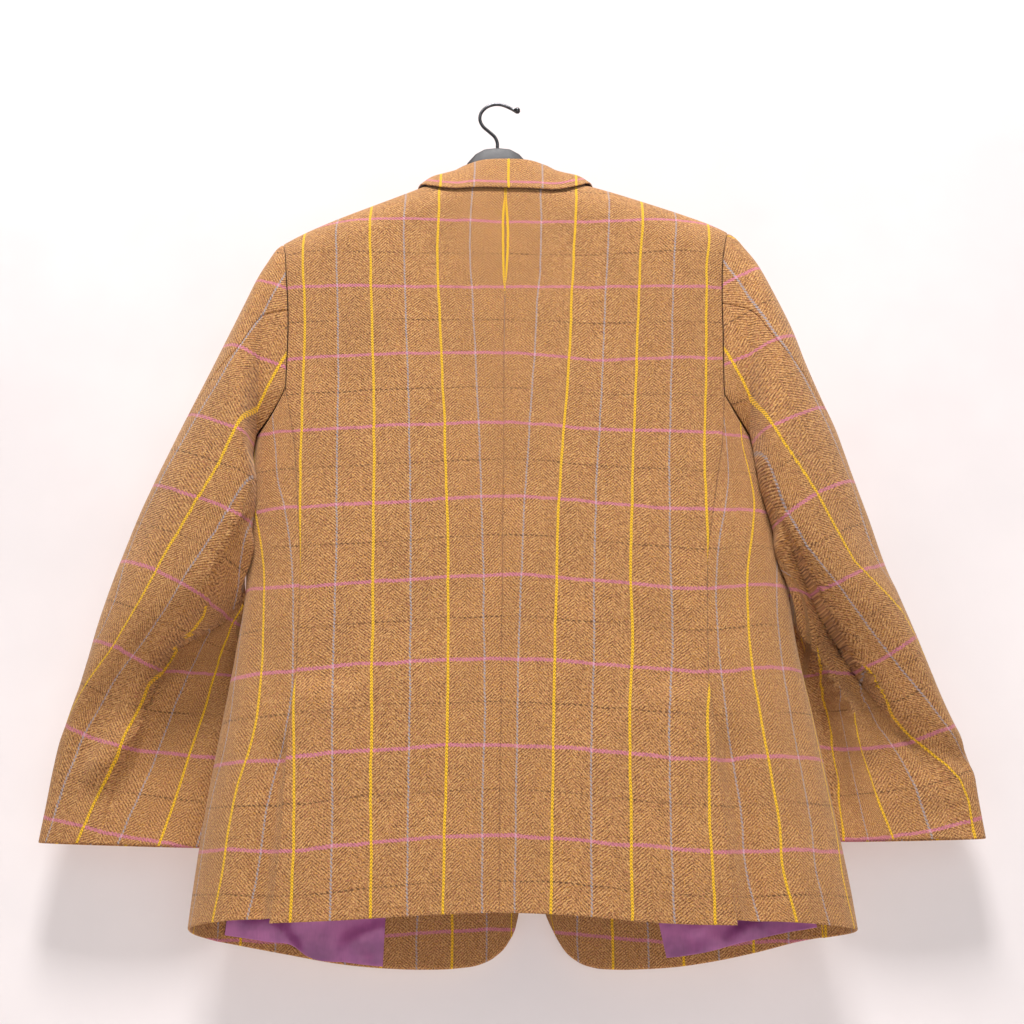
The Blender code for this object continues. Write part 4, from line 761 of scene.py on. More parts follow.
def section_ring(section, side):
    """One closed sleeve section, from its outer end over the back, with the lap's place or None."""
    turn = np.linspace(0, 2 * math.pi, RING_SAMPLES + 1)
    power = 2 / SLEEVE_SQUARENESS
    along = np.sign(np.cos(turn)) * np.abs(np.cos(turn)) ** power
    swing = np.sign(np.sin(turn)) * np.abs(np.sin(turn)) ** power
    inward = (1 - along) / 2
    x = section.outer_x + (section.inner_x - section.outer_x) * inward
    z = section.outer_z + (section.inner_z - section.outer_z) * inward
    middle_y = section.outer_y + (section.inner_y - section.outer_y) * inward
    beyond, way = beyond_line(x, z, ELBOW_LAP[side], side)
    shape = {name: read(ELBOW_ROLL[side], "way", name, way) for name in Roll._fields[1:]}
    roll = shape["roll"] * np.clip(1 - beyond / shape["width"], 0, 1) ** ROLL_POWER
    dip = shape["dip"] * np.exp(beyond / LAP_DIP_RUN)
    over = ramp(0.5 + beyond / (2 * shape["softness"]))
    back_depth = (section.under_depth - dip) * (1 - over) + (section.over_depth - roll) * over
    depth = np.where(swing > 0, back_depth, section.front_depth)
    points = np.stack([x, middle_y + depth * swing, z], axis=-1)
    lengths = lengths_along(points)
    places = lengths / lengths[-1]
    back = beyond[:RING_SAMPLES // 2]
    crossings = np.nonzero((back[:-1] >= 0) & (back[1:] < 0))[0]
    lap = float(places[crossings[0]]) if len(crossings) else None
    return points, places, lap


def sleeve_places(at, sections, rings, columns, count):
    """Places round the girth of all columns in all sections, below the armhole.

    The seams, the inner end and both sides of the elbow's lap keep their own columns.
    """
    elbow, lap, tip, wrist = columns
    found = [(at[k], rings[k][2]) for k, section in enumerate(sections)
             if rings[k][2] and section.over_depth - section.under_depth > LAP_STEP]
    seam = SLEEVES_HEAD_SEAM
    even = seam + (0.5 - seam) * (lap + LAP_COLUMNS / 2 - elbow) / (tip - elbow)
    knots = [HEAD_SECTIONS] + [place for place, _ in found]
    lap_places = [even] + [place for _, place in found]
    rows = []
    for k, section in enumerate(sections):
        place = float(np.interp(at[k], knots, lap_places))
        place = min(max(place, section.elbow_seam + LAP_MARGIN), 0.5 - LAP_MARGIN)
        marks = [elbow, lap, lap + LAP_COLUMNS, tip, wrist, count + elbow]
        shares = [section.elbow_seam, place - LAP_WIDTH, place + LAP_WIDTH, 0.5, section.wrist_seam,
                  1 + section.elbow_seam]
        around = np.arange(elbow, count + elbow)
        rows.append(np.roll(np.interp(around, marks, shares), elbow))
    return rows


def armhole_loop(side):
    """The armhole's edge from the shoulder down the back, under the arm and up the front."""
    back, front, panel = back_panel(side), front_panel(side), side_panel(side)
    rows, seam = ARMHOLE_ROWS, UNDERLAP_COLUMNS
    loop = np.concatenate([
        back.points[:rows + 1, -1], panel.points[0, seam + 1:-1], front.points[rows:0:-1, -1]])
    normals = np.concatenate([
        back.normals[:rows + 1, -1], panel.normals[0, seam + 1:-1], front.normals[rows:0:-1, -1]])
    return loop, normals


def clear_of_body(points, side):
    """Press the sleeve flat where it rests against the side of the body."""
    size = ring(points[..., 2])
    half = size["half_left"] if side == "left" else size["half_right"]
    off = points[..., 1] - size["middle_y"]
    depth = np.where(off > 0, size["back_depth"], size["front_depth"])
    level = np.clip(np.abs(off) / depth, 0, 1)
    body_x = size["centre_x"] + SIDES[side] * half * (1 - level**SQUARENESS) ** (1 / SQUARENESS)
    low = points[..., 2] < UNDERARM_LEVEL
    inside = np.maximum(SIDES[side] * (body_x - points[..., 0]) + SLEEVE_CLEARANCE, 0) * low
    pressed = points.copy()
    pressed[..., 0] += SIDES[side] * inside
    return pressed


def around_gradient(points):
    return (np.roll(points, -1, axis=1) - np.roll(points, 1, axis=1)) / 2


Sleeve = namedtuple("Sleeve", "points normals elbow lap tip wrist at edge_y")


@lru_cache(maxsize=None)
def sleeve(side):
    """Closed grid of the sleeve: row 0 is the armhole, each column runs down to the cuff."""
    loop, loop_normals = armhole_loop(side)
    count = len(loop)
    girth = np.linalg.norm(np.diff(np.concatenate([loop, loop[:1]]), axis=0), axis=1)
    loop_places = np.concatenate([[0], np.cumsum(girth)[:-1]]) / girth.sum()
    at, sections = fine_sections(side)
    rings = [section_ring(section, side) for section in sections]
    elbow = int(np.argmin(np.abs(loop_places - sections[0].elbow_seam)))
    wrist = int(np.argmin(np.abs(loop_places - sections[0].wrist_seam)))
    tip = int(np.argmin(np.abs(loop_places - 0.5)))
    lap = tip - LAP_TO_TIP_COLUMNS - LAP_COLUMNS
    start = loop_places + (np.arange(count) < elbow)
    rows = []
    for k, even in enumerate(sleeve_places(at, sections, rings, (elbow, lap, tip, wrist), count)):
        blend = ramp(at[k] / HEAD_SECTIONS)
        places = np.mod(start * (1 - blend) + even * blend, 1.0)
        ring_points, lengths, _ = rings[k]
        row = [np.interp(places, lengths, ring_points[:, axis]) for axis in range(3)]
        rows.append(np.stack(row, axis=-1))
    points = np.stack(rows)
    hollow = points.mean(axis=1, keepdims=True)
    normals = unit(np.cross(around_gradient(points), np.gradient(points, axis=0)))
    normals = normals * np.sign(np.sum(normals * (points - hollow)))
    height = fold_height(points, SLEEVE_FOLDS[side], only_back=False)
    height = height + crease_height(points, SLEEVE_CREASES[side], CREASE_FADE, side)
    behind = points[..., 1] - hollow[..., 1]
    height = height * ramp((behind - SLEEVE_FOLD_START) / SLEEVE_FOLD_RUN)
    points = clear_of_body(points + normals * height[..., None], side)

    head = np.linspace(0, 1, HEAD_ROWS + 1)[:-1, None, None]
    under_arm = ramp((ARMPIT_START - loop[:, 2]) / ARMPIT_RUN)[:, None]
    first = loop + loop_normals * under_arm * ARMPIT_OUT + np.array([0, 0, ARMPIT_UP]) * under_arm
    swell = HEAD_SWELL * np.sin(math.pi * head) * (1 - under_arm[None])
    joined = first[None] * (1 - head) + points[:1] * head + loop_normals[None] * swell
    points = np.concatenate([joined, points])
    normals = unit(np.cross(around_gradient(points), np.gradient(points, axis=0)))
    middle = points.mean(axis=1, keepdims=True)
    normals = normals * np.sign(np.sum(normals * (points - middle)))
    at = np.concatenate([np.linspace(-1, 0, HEAD_ROWS + 1)[:-1], at])
    outer_y = np.array([section.outer_y for section in sections])
    edge_y = np.concatenate([np.full(HEAD_ROWS, outer_y[0]), outer_y])
    return Sleeve(points, normals, elbow, lap, tip, wrist, at, edge_y)


# The tables say where numbered lines lie, seen from behind; what is between is shared out.
REPEAT_ACROSS = 70.0
REPEAT_DOWN = 80.0

# The stripe at the centre is given by how far it lies beyond the centre seam, below 0 inside it.
BackStripes = namedtuple("BackStripes", "z beyond_seam line_1 line_2 line_3")
BACK_STRIPES = {
    "left": (
        BackStripes(-869, 19, 45.7, 110.6, 183), BackStripes(-803, 19, 45.7, 112.8, 184),
        BackStripes(-748, 19, 44.9, 114.5, 187), BackStripes(-692, 19, 44, 115.8, 190),
        BackStripes(-634, 18.5, 44.8, 117, 193.5), BackStripes(-544, 15, 46, 119, 193),
        BackStripes(-482, 12.7, 47.9, 120.3, 195), BackStripes(-418, 9.5, 50.8, 122.3, 197.2),
        BackStripes(-353, 6.2, 53.8, 124.5, 198.2), BackStripes(-286, 2.9, 57.8, 128.4, 199),
        BackStripes(-265, 1.9, 59, 129.4, 200), BackStripes(-248, 0.4, 60, 130.2, 201),
        BackStripes(-236, -0.9, 60.6, 130.8, 202), BackStripes(-214, -2.1, 61.5, 131.6, 204),
        BackStripes(-186, -2.6, 61.5, 133, 206), BackStripes(-165, -2.1, 61.3, 134, 206.6),
        BackStripes(-152, -1.0, 61, 134.4, 207), BackStripes(-143, 0, 61, 134.6, 207.4),
    ),
    "right": (
        BackStripes(-869, 19, -51.2, -124, -198.9), BackStripes(-803, 19, -52.7, -125, -197.8),
        BackStripes(-748, 19, -54.2, -125.6, -199.2), BackStripes(-692, 19, -55.6, -127, -201),
        BackStripes(-634, 18.5, -57.1, -131, -208.5), BackStripes(-544, 15, -60, -132.2, -209.5),
        BackStripes(-482, 12.7, -62.5, -134.8, -209.6), BackStripes(-418, 9.5, -67.2, -138.4, -210.6),
        BackStripes(-353, 6.2, -73, -142.3, -215), BackStripes(-286, 2.9, -76.9, -146, -217.9),
        BackStripes(-265, 1.9, -77.9, -147.2, -218.9), BackStripes(-248, 0.4, -78.8, -148.1, -219.8),
        BackStripes(-236, -0.9, -79.7, -149.2, -220.6), BackStripes(-214, -2.1, -80.8, -150.5, -221.6),
        BackStripes(-186, -2.6, -82.4, -152.8, -225), BackStripes(-165, -2.1, -83.4, -154.2, -227),
        BackStripes(-152, -1.0, -83.9, -155, -228), BackStripes(-143, 0, -84.2, -155.4, -228.6),
    ),
}
CheckRow = namedtuple("CheckRow", "number left_side left_edge left centre right right_edge right_side")
CHECK_ROW_PLACES = (250, 200, 100, -24, -110, -205, -265)
CHECK_ROWS = (
    CheckRow(1, -158, -160, -168, -173.4, -172, -160, -158),
    CheckRow(2, -238, -241, -247, -249, -248, -242, -238),
    CheckRow(3, -319, -322, -322.5, -323.5, -330, -322, -318),
    CheckRow(4, -399, -402, -401.5, -400, -406, -404.5, -402),
    CheckRow(5, -484, -484.5, -483.5, -478, -485, -488, -483.5),
    CheckRow(6, -563, -566.5, -564, -559, -565, -570, -560.5),
    CheckRow(7, -654, -651, -645.5, -642.6, -647.5, -652.5, -645.5),
    CheckRow(8, -738, -736, -728, -725, -731.5, -737.5, -732),
    CheckRow(9, -819, -821.5, -813, -808, -815, -822, -819.5),
)
# The yellow stripe of the side panels, which is the fourth from the centre.
SideStripe = namedtuple("SideStripe", "z left_x right_x")
SIDE_STRIPE = (
    SideStripe(-885, 259, -276), SideStripe(-822, 250, -264), SideStripe(-792, 248.5, -264.5),
    SideStripe(-746, 240.8, -259.8), SideStripe(-719, 233.5, -256.5), SideStripe(-685, 227.5, -252.7),
    SideStripe(-626, 225.7, -247.3), SideStripe(-560, 227.5, -246.6), SideStripe(-520, 229.7, -249.5),
    SideStripe(-473, 237.5, -257), SideStripe(-440, 244.5, -260), SideStripe(-380, 249, -251),
)
FRONT_STRIPE_X = {"left": 43.3, "right": -115.5}

# Sleeves: the stripes from the inner to the outer one, and the pink lines down the arm.  The stripes
# break off at a fold's edge, under which others come out, so each zone beyond an edge has its own.
StripeLine = namedtuple("StripeLine", "number points")
StripeZone = namedtuple("StripeZone", "edge lines")
LOWER_ARM = {               # the ends of lines on which the zones run together
    "left": {
        1: ((335, -638), (346, -655), (355, -679), (365, -702), (372, -725), (394, -766), (406, -795)),
        1.5: ((379, -654), (409, -703), (425, -746), (436, -785)),
    },
    "right": {
        0: ((-369, -739), (-379, -772), (-388, -801)),
        0.5: ((-382, -693), (-402, -725), (-415, -754), (-427, -801)),
        1: ((-395, -685), (-412, -703), (-430, -717), (-448, -732), (-460, -745), (-468, -766),
            (-471, -794)),
    },
}
SLEEVE_STRIPES = {
    "left": (
        StripeZone(None, (
            StripeLine(0, ((215, -520), (245, -555), (257, -570), (269, -588), (279, -616), (294, -676),
                           (310, -736), (326, -795))),
            StripeLine(1, ((280, -530), (306, -585), (322, -615), *LOWER_ARM["left"][1])),
            StripeLine(1.5, ((330, -560), (352, -611), *LOWER_ARM["left"][1.5])),
        )),
        StripeZone(ELBOW_LAP["left"], (
            StripeLine(0, ((190, -480), (225, -535), (245, -570), (262, -600), (280, -640), (326, -795))),
            StripeLine(0.5, ((240, -480), (250, -520), (253, -537), (257, -556), (262, -569), (285, -610),
                             (330, -690), (360, -795))),
            StripeLine(1, ((262, -470), (270, -505), (279, -545), (284, -570), (285, -577), (290, -586),
                           (301, -599), (311, -609), (317, -613), (326, -624), *LOWER_ARM["left"][1])),
            StripeLine(1.5, ((300, -470), (319, -580), (342, -611), *LOWER_ARM["left"][1.5])),
        )),
        StripeZone(((238, -430), (248, -479), (253, -500), (261, -527), (270, -547), (278, -563),
                    (284, -577), (295, -588), (308, -600), (318, -612), (326, -619), (334, -631),
                    (345, -652)), (
            StripeLine(1, ((150, -440), (205, -490), (235, -530), (258, -565), (278, -579), (290, -586),
                           (301, -599), (311, -609), (317, -613), (326, -624), *LOWER_ARM["left"][1])),
            StripeLine(1.5, ((215, -395), (232, -432), (250, -466), (264, -493), (275, -513), (292, -536),
                             (319, -580), (342, -611), *LOWER_ARM["left"][1.5])),
            StripeLine(2, ((221, -323), (250, -385), (275, -448), (312, -509), (343, -567), (378, -623),
                           (404, -652), (440, -690))),
            StripeLine(2.5, ((224, -224), (252, -294), (285, -358), (313, -402), (340, -450), (369, -512),
                             (378, -575), (392, -605), (440, -650))),
        )),
    ),
    "right": (
        StripeZone(None, (
            StripeLine(-1, ((-322, -480), (-322, -600), (-323, -623), (-331, -658), (-337, -697),
                            (-342, -741), (-343, -797))),
            StripeLine(0, ((-360, -560), (-356, -640), (-355, -677), (-360, -704),
                           *LOWER_ARM["right"][0])),
            StripeLine(0.5, ((-385, -560), (-378, -660), *LOWER_ARM["right"][0.5])),
            StripeLine(1, ((-395, -560), (-392, -650), *LOWER_ARM["right"][1])),
        )),
        StripeZone(((-250, -480), (-282, -545), (-298, -575), (-310, -599), (-322, -618), (-335, -646),
                    (-354, -675), (-370, -700)), (
            StripeLine(-1, ((-200, -600), (-280, -660), (-325, -700), (-340, -735), (-342.5, -794))),
            StripeLine(0, ((-240, -560), (-290, -610), (-318, -650), (-338, -680), (-351, -697),
                           (-360, -706), *LOWER_ARM["right"][0])),
            StripeLine(0.5, ((-330, -520), (-352, -590), (-366, -628), (-368, -650), (-370, -666),
                             *LOWER_ARM["right"][0.5])),
            StripeLine(1, ((-340, -500), (-358, -590), (-363, -625), (-371, -643),
                           *LOWER_ARM["right"][1])),
        )),
        StripeZone(ELBOW_LAP["right"], (
            StripeLine(1, ((-200, -440), (-250, -515), (-290, -565), (-325, -606), (-350, -624),
                           (-371, -643), *LOWER_ARM["right"][1])),
            StripeLine(1.5, ((-252, -400), (-270, -435), (-286, -492), (-305, -529), (-329, -557),
                             (-354, -587), (-377, -616), (-402, -644), (-427, -671), (-454, -703),
                             (-470, -725), (-490, -760))),
            StripeLine(2, ((-238, -314), (-252, -345), (-282, -418), (-322, -481), (-354, -541),
                           (-386, -567), (-412, -589), (-440, -625))),
            StripeLine(2.5, ((-249, -224), (-266, -257), (-282, -292), (-314, -344), (-347, -413),
                             (-362, -455), (-371, -505), (-384, -540), (-420, -575))),
            StripeLine(3, ((-246, -170), (-256, -173), (-275, -185), (-300, -215), (-350, -320),
                           (-400, -440))),
        )),
    ),
}
SLEEVE_ROWS = {
    "left": (
        StripeLine(1, ((245, -232), (222, -240))),
        StripeLine(2, ((278, -308), (252, -320), (228, -327))),
        StripeLine(3, ((311, -383), (265, -406), (248, -411))),
        StripeLine(4, ((344, -455), (315, -469), (282, -484), (252, -496))),
        StripeLine(5, ((371, -534), (342, -545), (309, -562), (286, -576))),
        StripeLine(6, ((394, -614), (370, -623), (343, -638), (270, -640))),
        StripeLine(7, ((425, -694), (402, -706), (367, -716), (283, -723))),
        StripeLine(8, ((443, -782), (398, -794), (368, -800), (326, -807))),
    ),
    "right": (
        StripeLine(1, ((-275, -216), (-237, -236))),
        StripeLine(2, ((-301, -299), (-271, -315), (-241, -325))),
        StripeLine(3, ((-337, -373), (-284, -403), (-264, -409))),
        StripeLine(4, ((-366, -449), (-321, -472), (-284, -498))),
        StripeLine(5, ((-391, -535), (-359, -550), (-323, -569), (-312, -565), (-280, -560))),
        StripeLine(6, ((-424, -605), (-389, -628), (-362, -641), (-336, -641))),
        StripeLine(7, ((-454, -694), (-411, -711), (-353, -716), (-325, -712))),
        StripeLine(8, ((-477, -784), (-416, -797), (-387, -802), (-345, -804))),
    ),
}
EDGE_TURN = 12.0            # width beside the sleeve's outer edge where its cloth turns away
FRONT_EVEN_ROWS = 24        # rows over which the stripes of the sleeve's front are evened
FRONT_EVEN_RUN = 70.0       # and the length round its edge over which that begins
HEAD_PATTERN = (4.0, 7.5)   # sections between which the pattern of the sleeve's head ends
EDGE_COLUMNS = 8            # most columns between that edge and the elbow seam
LINE_RUN_OUT = 400.0        # lines run straight on beyond their ends


def shared_out(distances, numbers, beyond):
    """Number of each place among lines, from its signed distances to them.

    The first axis goes through the lines, in rising numbers; a distance is above 0 beyond its line.
    """
    distances, numbers = np.asarray(distances), np.asarray(numbers, float)
    low = np.clip((distances >= 0).sum(axis=0) - 1, 0, len(numbers) - 2)
    here = np.take_along_axis(distances, low[None], axis=0)[0]
    after = np.take_along_axis(distances, low[None] + 1, axis=0)[0]
    span = np.maximum(here - after, 1e-3)
    found = numbers[low] + np.clip(here / span, 0, 1) * (numbers[low + 1] - numbers[low])
    found = np.where(distances[0] < 0, numbers[0] + distances[0] / beyond, found)
    return np.where(distances[-1] > 0, numbers[-1] + distances[-1] / beyond, found)


def rows_down(points):
    """Repeats of the check down the body, from the pink lines of the table."""
    places = np.array(CHECK_ROW_PLACES[::-1], float)
    distances = []
    for row in CHECK_ROWS:
        heights = np.array(row[1:][::-1], float)
        distances.append(curve(places, heights, points[..., 0]) - points[..., 2])
    numbers = [row.number for row in CHECK_ROWS]
    return shared_out(distances, numbers, REPEAT_DOWN)


def back_places(panel, side):
    """Across and down the cloth of the back, in metres."""
    points, table = panel.points, BACK_STRIPES[side]
    from_seam = SIDES[side] * (points[..., 0] - points[:, :1, 0])
    distances = [from_seam + read(table, "z", "beyond_seam", points[..., 2])]
    distances += [
        SIDES[side] * (points[..., 0] - read(table, "z", name, points[..., 2]))
        for name in BackStripes._fields[2:]]
    across = shared_out(distances, range(4), REPEAT_ACROSS) * SIDES[side]
    return in_metres(across, rows_down(points))


def in_metres(across, down):
    return np.stack([across * REPEAT_ACROSS, down * REPEAT_DOWN], axis=-1) * METRES


def round_places(points, line_x, number, side):
    """Across and down a panel that turns round the body, measured from one stripe."""
    along = lengths_along(points, axis=1)
    reach = SIDES[side] * points[..., 0]
    start = np.zeros(len(points))
    for k, x in enumerate(line_x):
        order = np.argsort(reach[k, :np.argmax(reach[k]) + 1])
        start[k] = np.interp(SIDES[side] * x, reach[k, order], along[k, order])
    across = number + (along - start[:, None]) / REPEAT_ACROSS
    return in_metres(across * SIDES[side], rows_down(points))


def side_places(panel, side):
    line_x = read(SIDE_STRIPE, "z", side + "_x", panel.points[:, UNDERLAP_COLUMNS, 2])
    return round_places(panel.points, line_x, 4, side)


def front_places(points, side):
    """The front is cut with its stripes upright beside its edge."""
    along = lengths_along(points, axis=1)
    reach = SIDES[side] * points[..., 0]
    stripe = SIDES[side] * FRONT_STRIPE_X[side]
    start = np.array([np.interp(stripe, reach[k], along[k]) for k in range(len(points))])
    start += np.minimum(stripe - reach[:, 0], 0)
    across = (along - start[:, None]) / REPEAT_ACROSS
    return in_metres(across * SIDES[side], rows_down(points))


def line_distance(places, line):
    """Signed distances of places seen from behind to a line of points that runs on beyond its ends."""
    line = np.array(line, float)
    first = line[0] + unit(line[0] - line[1]) * LINE_RUN_OUT
    last = line[-1] + unit(line[-1] - line[-2]) * LINE_RUN_OUT
    line = np.concatenate([first[None], line, last[None]])
    distance, _ = line_side(places.reshape(-1, 2), line)
    return distance.reshape(places.shape[:-1])


def numbered(seen, lines, side, beyond):
    """Numbers of places among the lines of a table."""
    distances = [SIDES[side] * line_distance(seen, line.points) for line in lines]
    return shared_out(distances, [line.number for line in lines], beyond)


def sleeve_zones(places, side):
    """Number of the stripes' zone in which each place lies."""
    zones = np.zeros(len(places), int)
    for number, zone in enumerate(SLEEVE_STRIPES[side]):
        if zone.edge:
            beyond, _ = beyond_line(places[:, 0], places[:, 2], zone.edge, side)
            zones[beyond > 0] = number
    return zones


def carried_round(made, across, side):
    """Numbers carried on by the length of the cloth where the sleeve turns round its outer edge."""
    closed = np.concatenate([made.points, made.points[:, :1]], axis=1)
    steps = np.linalg.norm(np.diff(closed, axis=1), axis=-1)
    reach = SIDES[side] * made.points[..., 0]
    found, aways, starts, offsets = across.copy(), [], [], []
    top = np.append(np.arange(made.elbow + EDGE_COLUMNS), np.arange(made.wrist, across.shape[1]))
    for k, numbers in enumerate(across):
        outer = top[np.argmax(reach[k, top])]
        along, girth = np.cumsum(steps[k]) - steps[k], steps[k].sum()
        away = np.mod(along - along[outer], girth)
        back = np.nonzero(away < away[made.tip])[0]
        away = np.where(away < away[made.tip], away, away - girth)
        back = back[np.argsort(away[back])]
        start = np.interp(EDGE_TURN - reach[k, outer], -reach[k, back], away[back])
        number = np.interp(start, away[back], numbers[back])
        found[k] = np.where(made.points[k, :, 1] < made.edge_y[k], 2 * numbers[outer] - numbers, numbers)
        aways.append(away)
        starts.append(start)
        offsets.append(number + start / REPEAT_ACROSS)
    aways, starts, offsets = np.stack(aways), np.array(starts)[:, None], np.array(offsets)
    weights = np.hanning(2 * FRONT_EVEN_ROWS + 1)
    even = np.convolve(np.pad(offsets, FRONT_EVEN_ROWS, mode="edge"), weights / weights.sum(), "valid")
    share = ramp((starts - aways) / FRONT_EVEN_RUN)
    offsets = offsets[:, None] * (1 - share) + even[:, None] * share
    carried = np.where(aways < starts, offsets - aways / REPEAT_ACROSS, across)
    share = ramp((made.at - HEAD_PATTERN[0]) / (HEAD_PATTERN[1] - HEAD_PATTERN[0]))[:, None]
    return found * (1 - share) + carried * share


def sleeve_places_in_check(made, side):
    seen = made.points[..., (0, 2)]
    down = numbered(seen, SLEEVE_ROWS[side], side, REPEAT_DOWN)
    zones = [numbered(seen, zone.lines, side, REPEAT_ACROSS) for zone in SLEEVE_STRIPES[side]]
    round_edge = carried_round(made, zones[-1], side)
    kept = round_edge == zones[-1]
    return np.stack([
        in_metres(np.where(kept, across, round_edge) * SIDES[side], down) for across in zones])


def plain_places(points):
    """Upright places seen from behind, for linings."""
    return points[..., (0, 2)] * METRES


# ---------------------------------------------------------------- cloth walls
def stretch_grid(grid, axis, places):
    """The grid read at other places along one axis, given in grid steps."""
    low = np.clip(np.floor(places).astype(int), 0, grid.shape[axis] - 2)
    share = places - low
    one, other = np.take(grid, low, axis=axis), np.take(grid, low + 1, axis=axis)
    shape = [1] * grid.ndim
    shape[axis] = len(places)
    share = share.reshape(shape)
    return one * (1 - share) + other * share


def edge_places(count, first, last):
    """Row or column places with extra ones beside the named edges."""
    places = list(range(count))
    if first:
        places += [1 - step for step in EDGE_STEPS]
    if last:
        places += [count - 2 + step for step in EDGE_STEPS]
    return np.array(sorted(places), float)


def edge_distance(points, side):
    """Length along the cloth from one edge of a grid to each point."""
    axis = 0 if side in ("top", "bottom") else 1
    lengths = lengths_along(points, axis)
    if side in ("bottom", "last"):
        lengths = np.take(lengths, [-1], axis=axis) - lengths
    return lengths


def quads(keep):
    """Corner numbers of the kept squares of a grid, one row each."""
    rows, cols = keep.shape
    numbers = np.arange((rows + 1) * (cols + 1)).reshape(rows + 1, cols + 1)
    squares = np.stack([
        numbers[:-1, :-1], numbers[:-1, 1:], numbers[1:, 1:], numbers[1:, :-1]], axis=-1)
    return squares[keep]


def rim_edges(keep):
    """Edges between kept and missing squares, directed as in the kept square."""
    rows, cols = keep.shape
    padded = np.pad(keep, 1)
    numbers = np.arange((rows + 1) * (cols + 1)).reshape(rows + 1, cols + 1)
    edges = []
    above = keep & ~padded[:-2, 1:-1]
    edges.append(np.stack([numbers[:-1, :-1][above], numbers[:-1, 1:][above]], axis=-1))
    right = keep & ~padded[1:-1, 2:]
    edges.append(np.stack([numbers[:-1, 1:][right], numbers[1:, 1:][right]], axis=-1))
    below = keep & ~padded[2:, 1:-1]
    edges.append(np.stack([numbers[1:, 1:][below], numbers[1:, :-1][below]], axis=-1))
    left = keep & ~padded[1:-1, :-2]
    edges.append(np.stack([numbers[1:, :-1][left], numbers[:-1, :-1][left]], axis=-1))
    return np.concatenate(edges)


def shell(name, panel, places, seams=(), free=(), inner_band=None, slots=("tweed", "lining"),
          thickness=CLOTH, zones=None):
    """A wall of cloth with its own places in the pattern.

    Seams are edges sewn to a neighbour, pressed in along the stitching.  Free edges are rounded.
    inner_band gives, for each square, whether its inside shows the cloth's own turn-up.  Where zones
    gives the number of a face's zone from its middle, places has a grid for each zone.
    """
    points, normals, keep = panel
    rows = edge_places(points.shape[0], "top" in seams + free, "bottom" in seams + free)
    cols = edge_places(points.shape[1], "first" in seams + free, "last" in seams + free)

    def finer(grid):
        return stretch_grid(stretch_grid(grid, 0, rows), 1, cols)

    def finer_squares(squares):
        in_rows = squares[np.minimum(rows[:-1].astype(int), keep.shape[0] - 1)]
        return in_rows[:, np.minimum(cols[:-1].astype(int), keep.shape[1] - 1)]

    kept = finer_squares(keep)
    if inner_band is not None:
        inner_band = finer_squares(inner_band)
    points, normals = finer(points), unit(finer(normals))
    places = np.stack([finer(grid) for grid in (places if zones else places[None])])
    outer = np.zeros(points.shape[:2])
    inner = np.full(points.shape[:2], -thickness)
    for side in seams:
        away = edge_distance(points, side)
        outer -= SEAM_DEPTH * np.clip(1 - away / SEAM_REACH, 0, 1) ** 2
        outer -= STITCH_DEPTH * np.clip(1 - away / STITCH_REACH, 0, 1) ** 2
    for side in free:
        near = np.clip(1 - edge_distance(points, side) / (thickness * FREE_EDGE_REACH), 0, 1)
        turn = (1 - np.sqrt(1 - near**2)) * thickness * FREE_EDGE_TURN
        outer -= turn
        inner += turn
    layers = np.concatenate([
        (points + normals * outer[..., None]).reshape(-1, 3),
        (points + normals * inner[..., None]).reshape(-1, 3)])
    count = points.shape[0] * points.shape[1]
    squares, rims = quads(kept), rim_edges(kept)
    facing = np.cross(points[1:, :-1] - points[:-1, :-1], points[:-1, 1:] - points[:-1, :-1])
    flip = np.sum(facing * normals[:-1, :-1]) > 0
    if flip:
        squares, rims = squares[:, ::-1], rims[:, ::-1]
    rim_squares = np.stack([rims[:, 1], rims[:, 0], rims[:, 0] + count, rims[:, 1] + count], axis=-1)
    faces = np.concatenate([squares, squares[:, ::-1] + count, rim_squares])
    inside = np.ones(len(squares), int)
    if inner_band is not None:
        inside = np.where(inner_band[kept], 0, 1)
    kinds = np.concatenate([np.zeros(len(squares), int), inside, np.zeros(len(rims), int)])
    uv = np.concatenate([places.reshape(len(places), -1, 2)] * 2, axis=1)
    numbers = zones(layers[faces].mean(axis=1)) if zones else np.zeros(len(faces), int)
    return make_mesh(name, layers, faces, uv, numbers, kinds, slots)


def make_mesh(name, points, faces, uv, zones, kinds, slots):
    """A mesh object from points in millimetres, with UV places in metres and a material a face."""
    corner_places = uv[zones[:, None], faces].reshape(-1, 2)
    used, numbers = np.unique(faces, return_inverse=True)
    faces = numbers.reshape(faces.shape)
    data = bpy.data.meshes.new(name)
    data.from_pydata((points[used] * METRES).tolist(), [], faces.tolist())
    layer = data.uv_layers.new(name="Pattern")
    layer.data.foreach_set("uv", corner_places.astype(np.float32).ravel())
    for slot in slots:
        data.materials.append(material(slot))
    data.polygons.foreach_set("material_index", kinds.astype(np.int32))
    data.shade_smooth()
    data.set_sharp_from_angle(angle=math.radians(SHARP_ANGLE))
    item = bpy.data.objects.new(name, data)
    bpy.context.scene.collection.objects.link(item)
    return item


def dress(item, slot, *nodes):
    """The piece stands for the named solids and moves with the jacket."""
    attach(item, "root")
    if nodes:
        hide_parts(*nodes)
    return item


